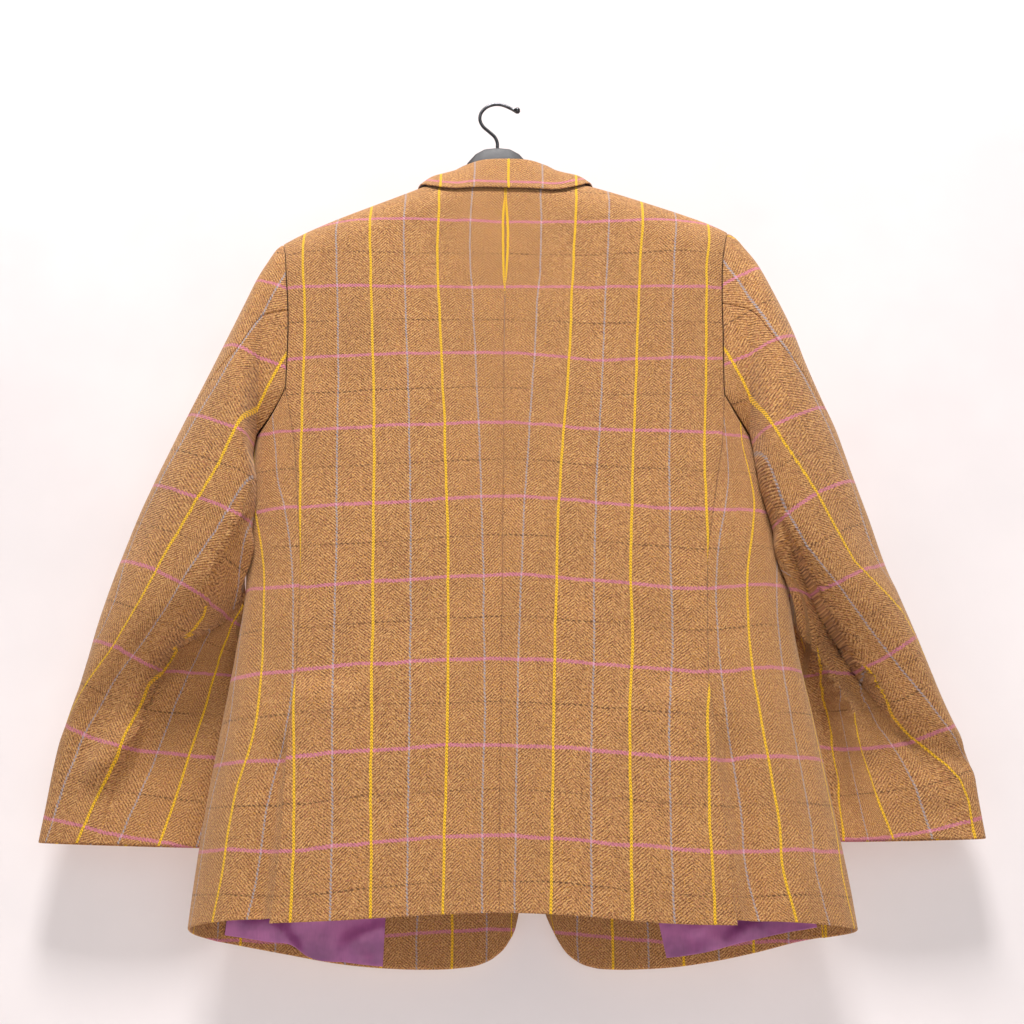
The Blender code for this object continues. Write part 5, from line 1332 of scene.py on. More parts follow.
# ---------------------------------------------------------------- finishes
class Nodes:
    """Short ways to add nodes to one tree."""

    def __init__(self, tree):
        self.tree = tree

    def add(self, kind, **values):
        made = self.tree.nodes.new(kind)
        for name, value in values.items():
            setattr(made, name, value)
        return made

    def put(self, socket, value):
        if isinstance(value, bpy.types.NodeSocket):
            self.tree.links.new(value, socket)
        else:
            socket.default_value = value

    def math(self, operation, *values):
        made = self.add("ShaderNodeMath", operation=operation)
        for socket, value in zip(made.inputs, values):
            self.put(socket, value)
        return made.outputs[0]

    def plus(self, one, other):
        return self.math("ADD", one, other)

    def minus(self, one, other):
        return self.math("SUBTRACT", one, other)

    def times(self, one, other):
        return self.math("MULTIPLY", one, other)

    def times_plus(self, one, other, added):
        return self.math("MULTIPLY_ADD", one, other, added)

    def mix(self, factor, one, other, blend="MIX"):
        made = self.add("ShaderNodeMix", data_type="RGBA", blend_type=blend)
        self.put(made.inputs["Factor"], factor)
        self.put(made.inputs[6], one)
        self.put(made.inputs[7], other)
        return made.outputs[2]

    def range(self, value, low, high, to_low=0.0, to_high=1.0):
        made = self.add("ShaderNodeMapRange", interpolation_type="SMOOTHSTEP")
        for socket, given in zip(made.inputs, (value, low, high, to_low, to_high)):
            self.put(socket, given)
        return made.outputs[0]

    def vector(self, x, y, z=0.0):
        made = self.add("ShaderNodeCombineXYZ")
        for socket, given in zip(made.inputs, (x, y, z)):
            self.put(socket, given)
        return made.outputs[0]

    def noise(self, place, scale, detail=2.0, roughness=0.5):
        made = self.add("ShaderNodeTexNoise")
        self.put(made.inputs["Vector"], place)
        self.put(made.inputs["Scale"], scale)
        self.put(made.inputs["Detail"], detail)
        self.put(made.inputs["Roughness"], roughness)
        return made.outputs["Fac"]


def new_group(name, inputs, outputs):
    """A node group with named inputs and outputs; gives it with its two end nodes."""
    group = bpy.data.node_groups.new(name, "ShaderNodeTree")
    kinds = {"vector": "NodeSocketVector", "value": "NodeSocketFloat", "colour": "NodeSocketColor"}
    for label, kind in inputs:
        group.interface.new_socket(label, in_out="INPUT", socket_type=kinds[kind])
    for label, kind in outputs:
        group.interface.new_socket(label, in_out="OUTPUT", socket_type=kinds[kind])
    return group, group.nodes.new("NodeGroupInput"), group.nodes.new("NodeGroupOutput")


CLOTH_COLOURS = ("Wool", "Light Fleck", "Gold Fleck", "Rust Fleck", "Dark Fleck", "Yellow", "Pink",
                 "Blue", "Dark Line")


def tweed_group():
    """Herringbone of brown wool with yellow, blue, pink and dark lines, from places in metres."""
    found = bpy.data.node_groups.get("Tweed Cloth")
    if found:
        return found
    inputs = [("Place", "vector")]
    inputs += [(label, "value") for label in (
        "Repeat Across", "Repeat Down", "Column", "Twill", "Yellow Width", "Pink Width", "Thin Width")]
    inputs += [(label, "colour") for label in CLOTH_COLOURS]
    outputs = [("Color", "colour"), ("Height", "value"), ("Roughness", "value")]
    group, start, end = new_group("Tweed Cloth", inputs, outputs)
    n = Nodes(group)
    given = start.outputs

    # The threads wander a little from their straight places.
    u, v = wander(n, given["Place"])

    # Herringbone: slanting ribs that turn back at each column.  Their fibres lie along them, and
    # those of one column have nothing in common with the next.
    number = n.math("FLOOR", n.math("DIVIDE", u, given["Column"]))
    zigzag = n.times(n.math("PINGPONG", u, given["Column"]), 0.9)
    climb = n.times_plus(number, n.times(given["Twill"], 0.4), n.plus(v, zigzag))
    along = n.minus(v, zigzag)
    rib = n.math("SINE", n.times(n.math("DIVIDE", climb, given["Twill"]), 2 * math.pi))
    rib = n.range(rib, -0.8, 0.8)
    column = n.times(number, 0.173)
    fibre = n.noise(n.vector(climb, n.times(along, 0.6), column), 780.0, 1.0, 0.6)
    light = n.noise(n.vector(climb, n.times(along, 0.45), n.plus(column, 0.31)), 700.0, 1.0, 0.5)
    gold = n.noise(n.vector(u, v, 0.17), 560.0, 1.0, 0.5)
    speck = n.noise(n.vector(u, v, 0.05), 900.0, 1.0, 0.5)
    broad = n.noise(n.vector(u, v), 16.0, 3.0, 0.5)

    tone = n.times_plus(rib, 0.42, n.range(fibre, 0.34, 0.66, 0.0, 0.58))
    colour = n.mix(n.range(tone, 0.05, 0.50), given["Dark Fleck"], given["Wool"])
    colour = n.mix(n.range(tone, 0.55, 0.92, 0.0, 0.75), colour, given["Light Fleck"])
    colour = n.mix(n.range(gold, 0.30, 0.42, 0.55, 0.0), colour, given["Rust Fleck"])
    colour = n.mix(n.range(gold, 0.58, 0.70, 0.0, 0.55), colour, given["Gold Fleck"])
    colour = n.mix(n.range(light, 0.58, 0.68, 0.0, 0.75), colour, given["Light Fleck"])
    colour = n.mix(n.range(speck, 0.57, 0.66, 0.0, 0.75), colour, given["Dark Fleck"])
    shade = n.range(broad, 0.25, 0.75, 0.94, 1.06)

    # Lines of the check, each one broken by the weave it runs through.
    half_across = n.times(given["Repeat Across"], 0.5)
    half_down = n.times(given["Repeat Down"], 0.5)
    off_yellow = n.math("PINGPONG", u, half_across)
    off_blue = n.minus(half_across, off_yellow)
    off_pink = n.math("PINGPONG", v, half_down)
    off_dark = n.minus(half_down, off_pink)
    chevron = thread_twist(n, v, off_yellow, -1.6, 0.0031)
    slant = thread_twist(n, u, v, 1.1, 0.0032)
    twist = thread_twist(n, v, u, 1.2, 0.0036)
    dots = thread_twist(n, u, v, 1.0, 0.0052)

    yellow_edge = n.times_plus(chevron, 0.0003, n.times(given["Yellow Width"], 0.44))
    yellow = line_mask(n, off_yellow, yellow_edge)
    pink_edge = n.times_plus(slant, 0.0009, n.times(given["Pink Width"], 0.34))
    pink = n.times(line_mask(n, off_pink, pink_edge), n.range(slant, 0.0, 0.8, 0.50, 0.92))
    thin_edge = n.times(given["Thin Width"], 0.5)
    blue = n.times(line_mask(n, off_blue, thin_edge), n.range(twist, 0.1, 0.8, 0.18, 0.9))
    dark = n.times(line_mask(n, off_dark, thin_edge), n.range(dots, 0.3, 0.8, 0.1, 0.85))
    dark = n.times(dark, n.range(broad, 0.35, 0.6, 0.25, 1.0))
    rim = line_mask(n, off_yellow, n.times(given["Yellow Width"], 0.72))
    shade = n.times(shade, n.times_plus(rim, -0.16, 1.0))

    base = tinted(n, colour, shade)
    base = n.mix(dark, base, given["Dark Line"])
    base = n.mix(blue, base, given["Blue"])
    base = n.mix(pink, base, tinted(n, given["Pink"], n.range(fibre, 0.3, 0.6, 0.72, 1.1)))
    both_lines = n.times(n.times(pink, line_mask(n, off_blue, thin_edge)), 0.8)
    base = n.mix(both_lines, base, tinted(n, n.mix(0.5, given["Pink"], given["Blue"]), 1.5))
    thread = n.times_plus(n.range(chevron, 0.0, 0.6), 0.62, 0.40)
    base = n.mix(yellow, base, tinted(n, given["Yellow"], thread))
    n.put(end.inputs["Color"], base)

    height = n.times_plus(rib, 0.6, n.times(fibre, 0.6))
    height = n.plus(height, n.times(n.times(yellow, chevron), 0.35))
    n.put(end.inputs["Height"], height)
    n.put(end.inputs["Roughness"], n.range(light, 0.2, 0.8, 0.86, 0.98))
    return group


def wander(n, place):
    """Places shifted by a fine and a broad unevenness of the cloth; gives u and v."""
    for scale, reach in ((24.0, 0.0036), (130.0, 0.0011)):
        sway = n.add("ShaderNodeTexNoise", noise_dimensions="2D")
        n.put(sway.inputs["Vector"], place)
        n.put(sway.inputs["Scale"], scale)
        n.put(sway.inputs["Detail"], 1.0)
        middle = n.add("ShaderNodeVectorMath", operation="SUBTRACT")
        n.put(middle.inputs[0], sway.outputs["Color"])
        n.put(middle.inputs[1], (0.5, 0.5, 0.5))
        shift = n.add("ShaderNodeVectorMath", operation="MULTIPLY_ADD")
        n.put(shift.inputs[0], middle.outputs[0])
        n.put(shift.inputs[1], (reach * 0.5, reach, 0.0))
        n.put(shift.inputs[2], place)
        place = shift.outputs[0]
    parts = n.add("ShaderNodeSeparateXYZ")
    n.put(parts.inputs[0], place)
    return parts.outputs[0], parts.outputs[1]


def thread_twist(n, along, across, slope, pitch):
    """0 to 1 and back along a thread, in turns that lie aslant."""
    slanted = n.times_plus(across, slope, along)
    turn = n.math("SINE", n.times(slanted, 2 * math.pi / pitch))
    return n.times_plus(turn, 0.5, 0.5)


def line_mask(n, off, edge, soft=0.0004):
    """1 within a distance of a line, with a soft edge."""
    return n.range(off, n.plus(edge, soft), n.minus(edge, soft))


def tinted(n, colour, value):
    """The colour made lighter or darker by a factor."""
    return n.mix(1.0, colour, n.vector(value, value, value), "MULTIPLY")


SATIN_PITCH = 0.0007        # from one slanting thread of the satin to the next, in metres


def satin_group():
    """Satin lining: fine slanting threads with a faint cloudiness."""
    found = bpy.data.node_groups.get("Satin Lining")
    if found:
        return found
    group, start, end = new_group(
        "Satin Lining", [("Place", "vector"), ("Satin", "colour"), ("Deep Satin", "colour")],
        [("Color", "colour"), ("Height", "value"), ("Roughness", "value")])
    n = Nodes(group)
    parts = n.add("ShaderNodeSeparateXYZ")
    n.put(parts.inputs[0], start.outputs["Place"])
    u, v = parts.outputs[0], parts.outputs[1]
    slant = n.math("SINE", n.times(n.plus(u, n.times(v, 0.45)), 2 * math.pi / SATIN_PITCH))
    cloud = n.noise(n.vector(u, v), 30.0, 3.0, 0.55)
    threads = n.noise(n.vector(u, n.times(v, 0.06)), 1500.0, 1.0, 0.5)
    colour = n.mix(n.range(cloud, 0.3, 0.7), start.outputs["Deep Satin"], start.outputs["Satin"])
    shade = n.times_plus(threads, 0.3, 0.85)
    n.put(end.inputs["Color"], tinted(n, colour, shade))
    n.put(end.inputs["Height"], n.plus(n.times(slant, 0.25), n.times(threads, 0.5)))
    n.put(end.inputs["Roughness"], n.range(threads, 0.3, 0.7, 0.30, 0.42))
    return group


def grain_group():
    """Fine grain and mottling for hard things, from object places."""
    found = bpy.data.node_groups.get("Fine Grain")
    if found:
        return found
    group, start, end = new_group(
        "Fine Grain",
        [("Place", "vector"), ("Scale", "value"), ("Stretch", "vector"), ("Light", "colour"),
         ("Dark", "colour"), ("Smooth", "value"), ("Rough", "value")],
        [("Color", "colour"), ("Height", "value"), ("Roughness", "value")])
    n = Nodes(group)
    pulled = n.add("ShaderNodeVectorMath", operation="MULTIPLY")
    n.put(pulled.inputs[0], start.outputs["Place"])
    n.put(pulled.inputs[1], start.outputs["Stretch"])
    broad = n.noise(pulled.outputs[0], start.outputs["Scale"], 4.0, 0.6)
    fine = n.noise(pulled.outputs[0], n.times(start.outputs["Scale"], 14.0), 2.0, 0.6)
    patches = n.range(broad, 0.3, 0.7)
    n.put(end.inputs["Color"], n.mix(patches, start.outputs["Dark"], start.outputs["Light"]))
    n.put(end.inputs["Height"], n.plus(n.times(broad, 0.4), n.times(fine, 0.6)))
    rough = n.add("ShaderNodeMapRange")
    ends = (start.outputs["Smooth"], start.outputs["Rough"])
    for socket, value in zip(rough.inputs, (fine, 0.3, 0.7, *ends)):
        n.put(socket, value)
    n.put(end.inputs["Roughness"], rough.outputs[0])
    return group


def new_material(name, group, values, bump, shader_values):
    """A material whose colour, roughness and relief come from a group and the rest from its shader."""
    made = bpy.data.materials.new(name)
    made.use_nodes = True
    n = Nodes(made.node_tree)
    shader = made.node_tree.nodes["Principled BSDF"]
    effect = n.add("ShaderNodeGroup", node_tree=group)
    for label, value in values.items():
        n.put(effect.inputs[label], value)
    relief = n.add("ShaderNodeBump")
    relief.inputs["Strength"].default_value = bump[0]
    relief.inputs["Distance"].default_value = bump[1]
    n.put(relief.inputs["Height"], effect.outputs["Height"])
    n.put(shader.inputs["Normal"], relief.outputs[0])
    n.put(shader.inputs["Base Color"], effect.outputs["Color"])
    n.put(shader.inputs["Roughness"], effect.outputs["Roughness"])
    for label, value in shader_values.items():
        shader.inputs[label].default_value = value
    return made, effect


def with_place(made, effect, kind):
    """The group reads the piece's pattern map, or the place in the object."""
    n = Nodes(made.node_tree)
    if kind == "pattern":
        place = n.add("ShaderNodeUVMap", uv_map="Pattern").outputs[0]
    else:
        place = n.add("ShaderNodeTexCoord").outputs["Object"]
    n.put(effect.inputs["Place"], place)
    return made


def tweed_material():
    cloth = bpy.context.scene.jacket_cloth
    values = {
        "Repeat Across": cloth.repeat_across, "Repeat Down": cloth.repeat_down,
        "Column": cloth.column_width, "Twill": cloth.twill_rise, "Yellow Width": cloth.yellow_width,
        "Pink Width": cloth.pink_width, "Thin Width": cloth.thin_width}
    for label in CLOTH_COLOURS:
        values[label] = (*getattr(cloth, label.lower().replace(" ", "_")), 1)
    made, effect = new_material(
        "Jacket tweed", tweed_group(), values, (0.7, 0.0006),
        {"Specular IOR Level": 0.25, "Sheen Weight": 0.25, "Sheen Roughness": 0.6,
         "Sheen Tint": (0.9, 0.7, 0.5, 1)})
    return with_place(made, effect, "pattern")


def lining_material():
    trim = bpy.context.scene.jacket_trim
    values = {"Satin": (*trim.satin, 1), "Deep Satin": (*trim.deep_satin, 1)}
    made, effect = new_material(
        "Jacket lining", satin_group(), values, (0.25, 0.0002),
        {"Specular IOR Level": 0.6, "Sheen Weight": 0.2, "Sheen Roughness": 0.3, "Anisotropic": 0.4})
    return with_place(made, effect, "pattern")


def hard_material(name, light, dark, scale, stretch, rough, bump, shader_values):
    """A finish of fine grain: light and dark patches of a size, each part rough between two ends."""
    values = {"Scale": scale, "Stretch": stretch, "Light": (*light, 1), "Dark": (*dark, 1),
              "Smooth": rough[0], "Rough": rough[1]}
    made, effect = new_material("Jacket " + name, grain_group(), values, bump, shader_values)
    return with_place(made, effect, "object")


FELT_SHADE = 0.6            # how dark the dark fibres of felt and thread are beside the light ones


def material(slot):
    """The finish of a slot, made when it is first asked for."""
    found = bpy.data.materials.get("Jacket " + slot)
    if found:
        return found
    trim = bpy.context.scene.jacket_trim
    if slot == "tweed":
        return tweed_material()
    if slot == "lining":
        return lining_material()
    if slot == "hanger":
        return hard_material(slot, trim.hanger, trim.hanger_dark, 90.0, (1, 1, 1), (0.42, 0.62),
                             (0.35, 0.0003), {"Specular IOR Level": 0.4})
    if slot == "hook":
        return hard_material(slot, trim.hook, trim.hook_dark, 160.0, (1, 1, 1), (0.22, 0.4),
                             (0.15, 0.0001), {"Metallic": 1.0})
    if slot in ("felt", "thread"):
        light = trim.felt if slot == "felt" else bpy.context.scene.jacket_cloth.wool
        dark = [value * FELT_SHADE for value in light]
        return hard_material(slot, light, dark, 400.0, (1, 1, 1), (0.85, 0.98), (0.5, 0.0003),
                             {"Sheen Weight": 0.3, "Specular IOR Level": 0.25})
    return hard_material(slot, trim.button, trim.button_dark, 70.0, (1, 0.35, 1), (0.2, 0.42),
                         (0.2, 0.0002), {"Coat Weight": 0.25, "Coat Roughness": 0.25})


# ---------------------------------------------------------------- the pieces
SEAM_REACH = 2.4            # width of cloth pressed in along a seam
SEAM_DEPTH = 0.7
STITCH_REACH = 0.9          # the sharp dip right at its stitches
STITCH_DEPTH = 0.7
TURN_UP = 38.0              # height of the hem's turn-up inside
COLLAR_STRIPE_X = -12.5     # the stripe at the middle of the collar
COLLAR_REPEAT = 72.5
COLLAR_STEPS = 8            # rows from one section of the collar to the next
COLLAR_FOLD_STEPS = 6       # columns from one point of a section to the next
LAPEL_GRID = (80, 24)       # rows and columns
FLAP_GRID = (18, 48)
FLAP_END_SLANT = 0.4        # how far its ends lean with its slant
COLLAR_ROW_UP = 8.0         # its pink line is this far above its edge
SLEEVE_LINING_TOP = -748.0  # the sleeve's lining shows below this height
FACING_START = 0.36         # share of the front's length above the facings that show
FACING_FIRST = 0.01         # places of the facing's and the lining's outer edges, as shares of
LINING_LAST = 0.985         # the front's width
# How far the lining ends above the front's hem, from the side seam to the facing.
LiningHem = namedtuple("LiningHem", "x rise")
LINING_HEM = {
    "left": (LiningHem(100, 1.5), LiningHem(145, 2.5), LiningHem(188, 3.5), LiningHem(197, 8.5),
             LiningHem(225, 8.5), LiningHem(262, 7), LiningHem(280, 6)),
    "right": (LiningHem(-300, 10), LiningHem(-285, 11), LiningHem(-240, 12), LiningHem(-210, 10),
              LiningHem(-184, 9.5), LiningHem(-170, 9.5)),
}
LINING_CREASE_FADE = 0.3
LINING_CREASES = {
    "left": (
        Crease(4.5, 12, 5, ((232, -868), (216, -884), (200, -902), (192, -918))),
        Crease(3.5, 8, 12, ((222, -905), (205, -885), (188, -876), (160, -868))),
        Crease(3, 7, 10, ((152, -896), (142, -908), (128, -922), (120, -930))),
        Crease(2.5, 10, 5, ((158, -902), (140, -896), (118, -888), (104, -880))),
        Crease(3.5, 14, 14, ((262, -872), (245, -884), (225, -893))),
    ),
    "right": (
        Crease(3.5, 6, 12, ((-272, -893), (-240, -900), (-212, -906), (-186, -914))),
        Crease(4, 10, 6, ((-262, -878), (-246, -886), (-232, -896))),
        Crease(3, 12, 8, ((-196, -880), (-206, -892), (-222, -902))),
        Crease(2.5, 8, 12, ((-230, -876), (-205, -884), (-182, -886))),
    ),
}


def near_edge(panel, side, reach):
    """The squares of a panel within a length of one of its edges."""
    return edge_distance(panel.points, side)[:-1, :-1] < reach


def build_backs():
    for side in SIDES:
        panel = back_panel(side)
        item = shell("cloth_back_" + side, panel, back_places(panel, side),
                     ("first", "last", "top"), ("bottom",), near_edge(panel, "bottom", TURN_UP))
        dress(item, "tweed", "back_" + side)


def build_sides():
    for side in SIDES:
        panel = side_panel(side)
        item = shell("cloth_side_" + side, panel, side_places(panel, side),
                     ("last", "top"), ("bottom", "first"), near_edge(panel, "bottom", TURN_UP))
        dress(item, "tweed", "side_" + side)


def build_fronts():
    for side in SIDES:
        panel = front_panel(side)
        turned = near_edge(panel, "bottom", TURN_UP) | near_edge(panel, "first", TURN_UP)
        item = shell("cloth_front_" + side, panel, front_places(panel.points, side),
                     ("last", "top"), ("bottom", "first"), turned)
        dress(item, "tweed", "front_" + side)


def facing_grid(side, first, last, rise):
    """A stretch of the inside of the front, from one share of its width to another.

    rise gives how far its lower edge ends above the front's, at each x.
    """
    panel = front_panel(side)
    inside = panel.points - panel.normals * (CLOTH + FACING_GAP)
    across = np.linspace(first * FRONT_COLUMNS, last * FRONT_COLUMNS, int((last - first) * FRONT_COLUMNS))
    points = stretch_grid(inside, 1, across)
    normals = stretch_grid(panel.normals, 1, across)
    start = int(FACING_START * len(points))
    points, normals = points[start:], normals[start:]
    lengths = lengths_along(points)
    rises = rise(points[-1, :, 0])
    shares = np.linspace(0, 1, len(points))
    moved = np.empty_like(points)
    for j in range(points.shape[1]):
        places = shares * (lengths[-1, j] - rises[j])
        for axis in range(3):
            moved[:, j, axis] = np.interp(places, lengths[:, j], points[:, j, axis])
    return Panel(moved, normals, all_kept(moved))


def lining_rise(x, side):
    """How much of the front's turn-up shows below the lining."""
    return read(LINING_HEM[side], "x", "rise", x)


def build_facings():
    for side in SIDES:
        panel = facing_grid(
            side, FACING_FIRST, FACING_SHARE, lambda x: np.full_like(x, FACING_INSET))
        item = shell("cloth_facing_" + side, panel, front_places(panel.points, side), (),
                     ("bottom", "first"), slots=("tweed", "tweed"), thickness=LINING_CLOTH)
        dress(item, "tweed", "facing_" + side)
        panel = facing_grid(side, FACING_SHARE, LINING_LAST, lambda x: lining_rise(x, side))
        creases = crease_height(panel.points, LINING_CREASES[side], LINING_CREASE_FADE, side)
        loose = panel.points - panel.normals * creases[..., None]
        panel = Panel(loose, panel.normals, panel.keep)
        item = shell("satin_lining_" + side, panel, plain_places(panel.points), (), ("bottom",),
                     slots=("lining", "lining"), thickness=LINING_CLOTH)
        dress(item, "lining", "lining_" + side)


def split_sleeve(grid, made):
    """The top sleeve and the under sleeve of a closed grid."""
    count = grid.shape[1]
    top = [k % count for k in range(made.wrist, count + made.elbow + 1)]
    under = list(range(made.elbow, made.wrist + 1))
    return grid[:, top], grid[:, under]


def build_sleeves():
    for side in SIDES:
        made = sleeve(side)
        top, under = split_sleeve(made.points, made)
        top_normals, under_normals = split_sleeve(made.normals, made)
        in_zones = [split_sleeve(grid, made) for grid in sleeve_places_in_check(made, side)]
        top_places, under_places = (np.stack(grids) for grids in zip(*in_zones))
        for kind, points, normals, places in (
                ("top", top, top_normals, top_places), ("under", under, under_normals, under_places)):
            panel = Panel(points, normals, all_kept(points))
            unlined = near_edge(panel, "bottom", TURN_UP) | (points[:-1, :-1, 2] > SLEEVE_LINING_TOP)
            item = shell("cloth_sleeve_%s_%s" % (side, kind), panel, places,
                         ("first", "last", "top"), ("bottom",), unlined,
                         zones=lambda middles: sleeve_zones(middles, side))
            dress(item, "tweed", "sleeve_%s_%s" % (side, kind))


def collar_section(row, direction):
    """Centre line of the folded collar at one section, from its tucked root over to its edge."""
    def over_body(offset, drop, height):
        x = CENTRE_X + direction * offset
        return drape(x, drop, row.face) + drape_normal(x, drop, row.face) * height

    tuck = over_body(row.tuck_offset, row.tuck_drop, -COLLAR_INSIDE)
    root = over_body(row.root_offset, row.root_drop, -COLLAR_INSIDE)
    edge = over_body(row.edge_offset, row.edge_drop, COLLAR_OVER)
    fold = np.array([CENTRE_X + direction * row.fold_offset, row.fold_y, row.fold_z])
    outward = unit((edge - root) * np.array([1, 1, 0])) * COLLAR_ROLL
    below = fold - np.array([0, 0, COLLAR_ROLL])
    bowed = (below + outward + edge) / 2 + unit(outward + np.array([0, 0, COLLAR_ROLL])) * row.bow
    return np.stack([
        tuck, root, (root + below - outward) / 2, below - outward, fold,
        below + outward, bowed, edge])


def smooth_grid(points, row_steps, column_steps):
    """A finer grid through the points of a coarse one."""
    for axis, steps in ((0, row_steps), (1, column_steps)):
        knots = np.arange(points.shape[axis], dtype=float)
        at = np.linspace(0, knots[-1], (points.shape[axis] - 1) * steps + 1)
        moved = np.moveaxis(points, axis, 0)
        flat = moved.reshape(moved.shape[0], -1)
        finer = np.stack([curve(knots, flat[:, k], at) for k in range(flat.shape[1])], axis=-1)
        points = np.moveaxis(finer.reshape(len(at), *moved.shape[1:]), 0, axis)
    return points


def collar_places(points):
    """Across from the stripe at its middle, upright behind and along the collar in front, and down."""
    steps = np.diff(points, axis=0)
    behind = (points[:-1, -1:, 1] + points[1:, -1:, 1]) / 2 > 0
    lengths = np.where(behind, steps[..., 0], np.linalg.norm(steps, axis=-1))
    across = np.concatenate([np.zeros((1, points.shape[1])), np.cumsum(lengths, axis=0)])
    middle = len(points) // 2
    across += points[middle, :, 0] - COLLAR_STRIPE_X - across[middle]
    down = -edge_distance(points, "last") + COLLAR_ROW_UP
    return np.stack([across * REPEAT_ACROSS / COLLAR_REPEAT, down], axis=-1) * METRES


def build_collar():
    sections = [collar_section(row, -1.0) for row in reversed(COLLAR)]
    sections += [collar_section(row, 1.0) for row in COLLAR[1:]]
    middle = smooth_grid(np.stack(sections), COLLAR_STEPS, COLLAR_FOLD_STEPS)
    normals = grid_normals(middle, np.zeros(3) + 1)
    if normals[len(middle) // 2, -2, 1] < 0:
        normals = -normals
    panel = Panel(middle + normals * CLOTH / 2, normals, all_kept(middle))
    item = shell("cloth_collar", panel, collar_places(panel.points), (),
                 ("last", "top", "bottom", "first"), slots=("tweed", "felt"))
    dress(item, "tweed", "collar")


def build_lapels():
    down, across = (np.linspace(0, 1, count) for count in LAPEL_GRID)
    for side, direction in SIDES.items():
        reach = read(LAPEL_SHAPE, "share", "reach", down)
        top = LAPEL_TOP_INNER + across * (LAPEL_TOP_OUTER - LAPEL_TOP_INNER)
        z = top[None, :] + down[:, None] * (LAPEL_BOTTOM[side] - top)[None, :]
        x = roll_line_x(z, side) + direction * (across[None, :] * reach[:, None] + LAPEL_OUTSET)
        soft_roll = LAPEL_ROLL_LIFT * (1 - across) ** 2
        lift = CLOTH + LAYER_GAP + soft_roll[None, :] + np.zeros_like(z)
        points, normals = front_point(x, drop_at(x, z), side, lift)
        panel = Panel(points, normals, all_kept(points))
        item = shell("cloth_lapel_" + side, panel, front_places(points, side), (),
                     ("first", "last", "top", "bottom"), slots=("tweed", "tweed"))
        dress(item, "tweed", "lapel_" + side)


def build_flaps():
    across = np.linspace(-0.5, 0.5, FLAP_GRID[1]) * FLAP_LENGTH
    down = np.linspace(0, 1, FLAP_GRID[0]) * FLAP_DEPTH
    slant = math.radians(FLAP_SLANT)
    for side, direction in SIDES.items():
        centre_x, centre_z = FLAP_CENTRE[side]
        u, v = np.meshgrid(across, down)
        x = centre_x + direction * (u * math.cos(slant) - v * math.sin(slant) * FLAP_END_SLANT)
        z = centre_z - u * math.sin(slant) - v
        points, normals = front_point(x, drop_at(x, z), side, CLOTH + LAYER_GAP)
        panel = Panel(points, normals, all_kept(points))
        item = shell("cloth_flap_" + side, panel, front_places(points, side), (),
                     ("first", "last", "top", "bottom"), slots=("tweed", "tweed"))
        dress(item, "tweed", "flap_" + side)


# ---------------------------------------------------------------- buttons and buttonholes
BUTTON_FLOOR = 0.62         # height of the button's sunken middle, as a part of its thickness
BUTTON_RIM = (0.10, 0.12)   # widths of its flat rings as parts of its radius, from outside
BUTTON_SLOPE = 0.10         # and of the slope down to its middle
BUTTON_MIDDLE_RING = 0.22
BUTTON_BACK_RIM = 0.18
BUTTON_BACK_RISE = 0.02     # how far its back stands out, as a part of its thickness
BUTTON_LIFT = 0.9           # between the cloth and the button
HOLE_RADIUS = 1.1
HOLE_OFFSET = 2.3
THREAD_SINK = 0.62          # how far a strand's middle lies below the button's, in its own radius
BUTTONHOLE_LENGTH = 25.0
BUTTONHOLE_REACH = -7.5     # its middle, from the button's, towards the edge
BUTTONHOLE_LIFT = 0.3
BUTTONHOLE_FLATNESS = 0.6   # of its ring of stitches
# In metres:
BUTTON_BEVEL = 0.0004
HANGER_BEVEL = 0.0016
THREAD_RADIUS = 0.00035
THREAD_GAP = 0.0006         # from the middle of one strand to the next
SHANK_RADIUS = 0.0016
SHANK_LENGTH = 0.0016
SHANK_Z = -0.0004           # of its middle
BUTTONHOLE_HALF_WIDTH = 0.0016
STITCH_RADIUS = 0.00075


def start_clean():
    if bpy.context.object and bpy.context.object.mode != "OBJECT":
        bpy.ops.object.mode_set(mode="OBJECT")
    bpy.ops.object.select_all(action="DESELECT")


def pick(test):
    """Select the faces of the edited object that pass a test of their middle and normal."""
    mesh = bmesh.from_edit_mesh(bpy.context.object.data)
    for face in mesh.faces:
        face.select_set(test(face.calc_center_median(), face.normal))
    bmesh.update_edit_mesh(bpy.context.object.data)


def apply_modifier(item, kind, **values):
    made = item.modifiers.new(kind.title(), kind)
    for name, value in values.items():
        setattr(made, name, value)
    bpy.context.view_layer.objects.active = item
    bpy.ops.object.modifier_apply(modifier=made.name)


def soften_edges(item, width, angle):
    """Round the edges that turn by more than an angle in degrees."""
    apply_modifier(item, "BEVEL", width=width, segments=3, limit_method="ANGLE",
                   angle_limit=math.radians(angle))


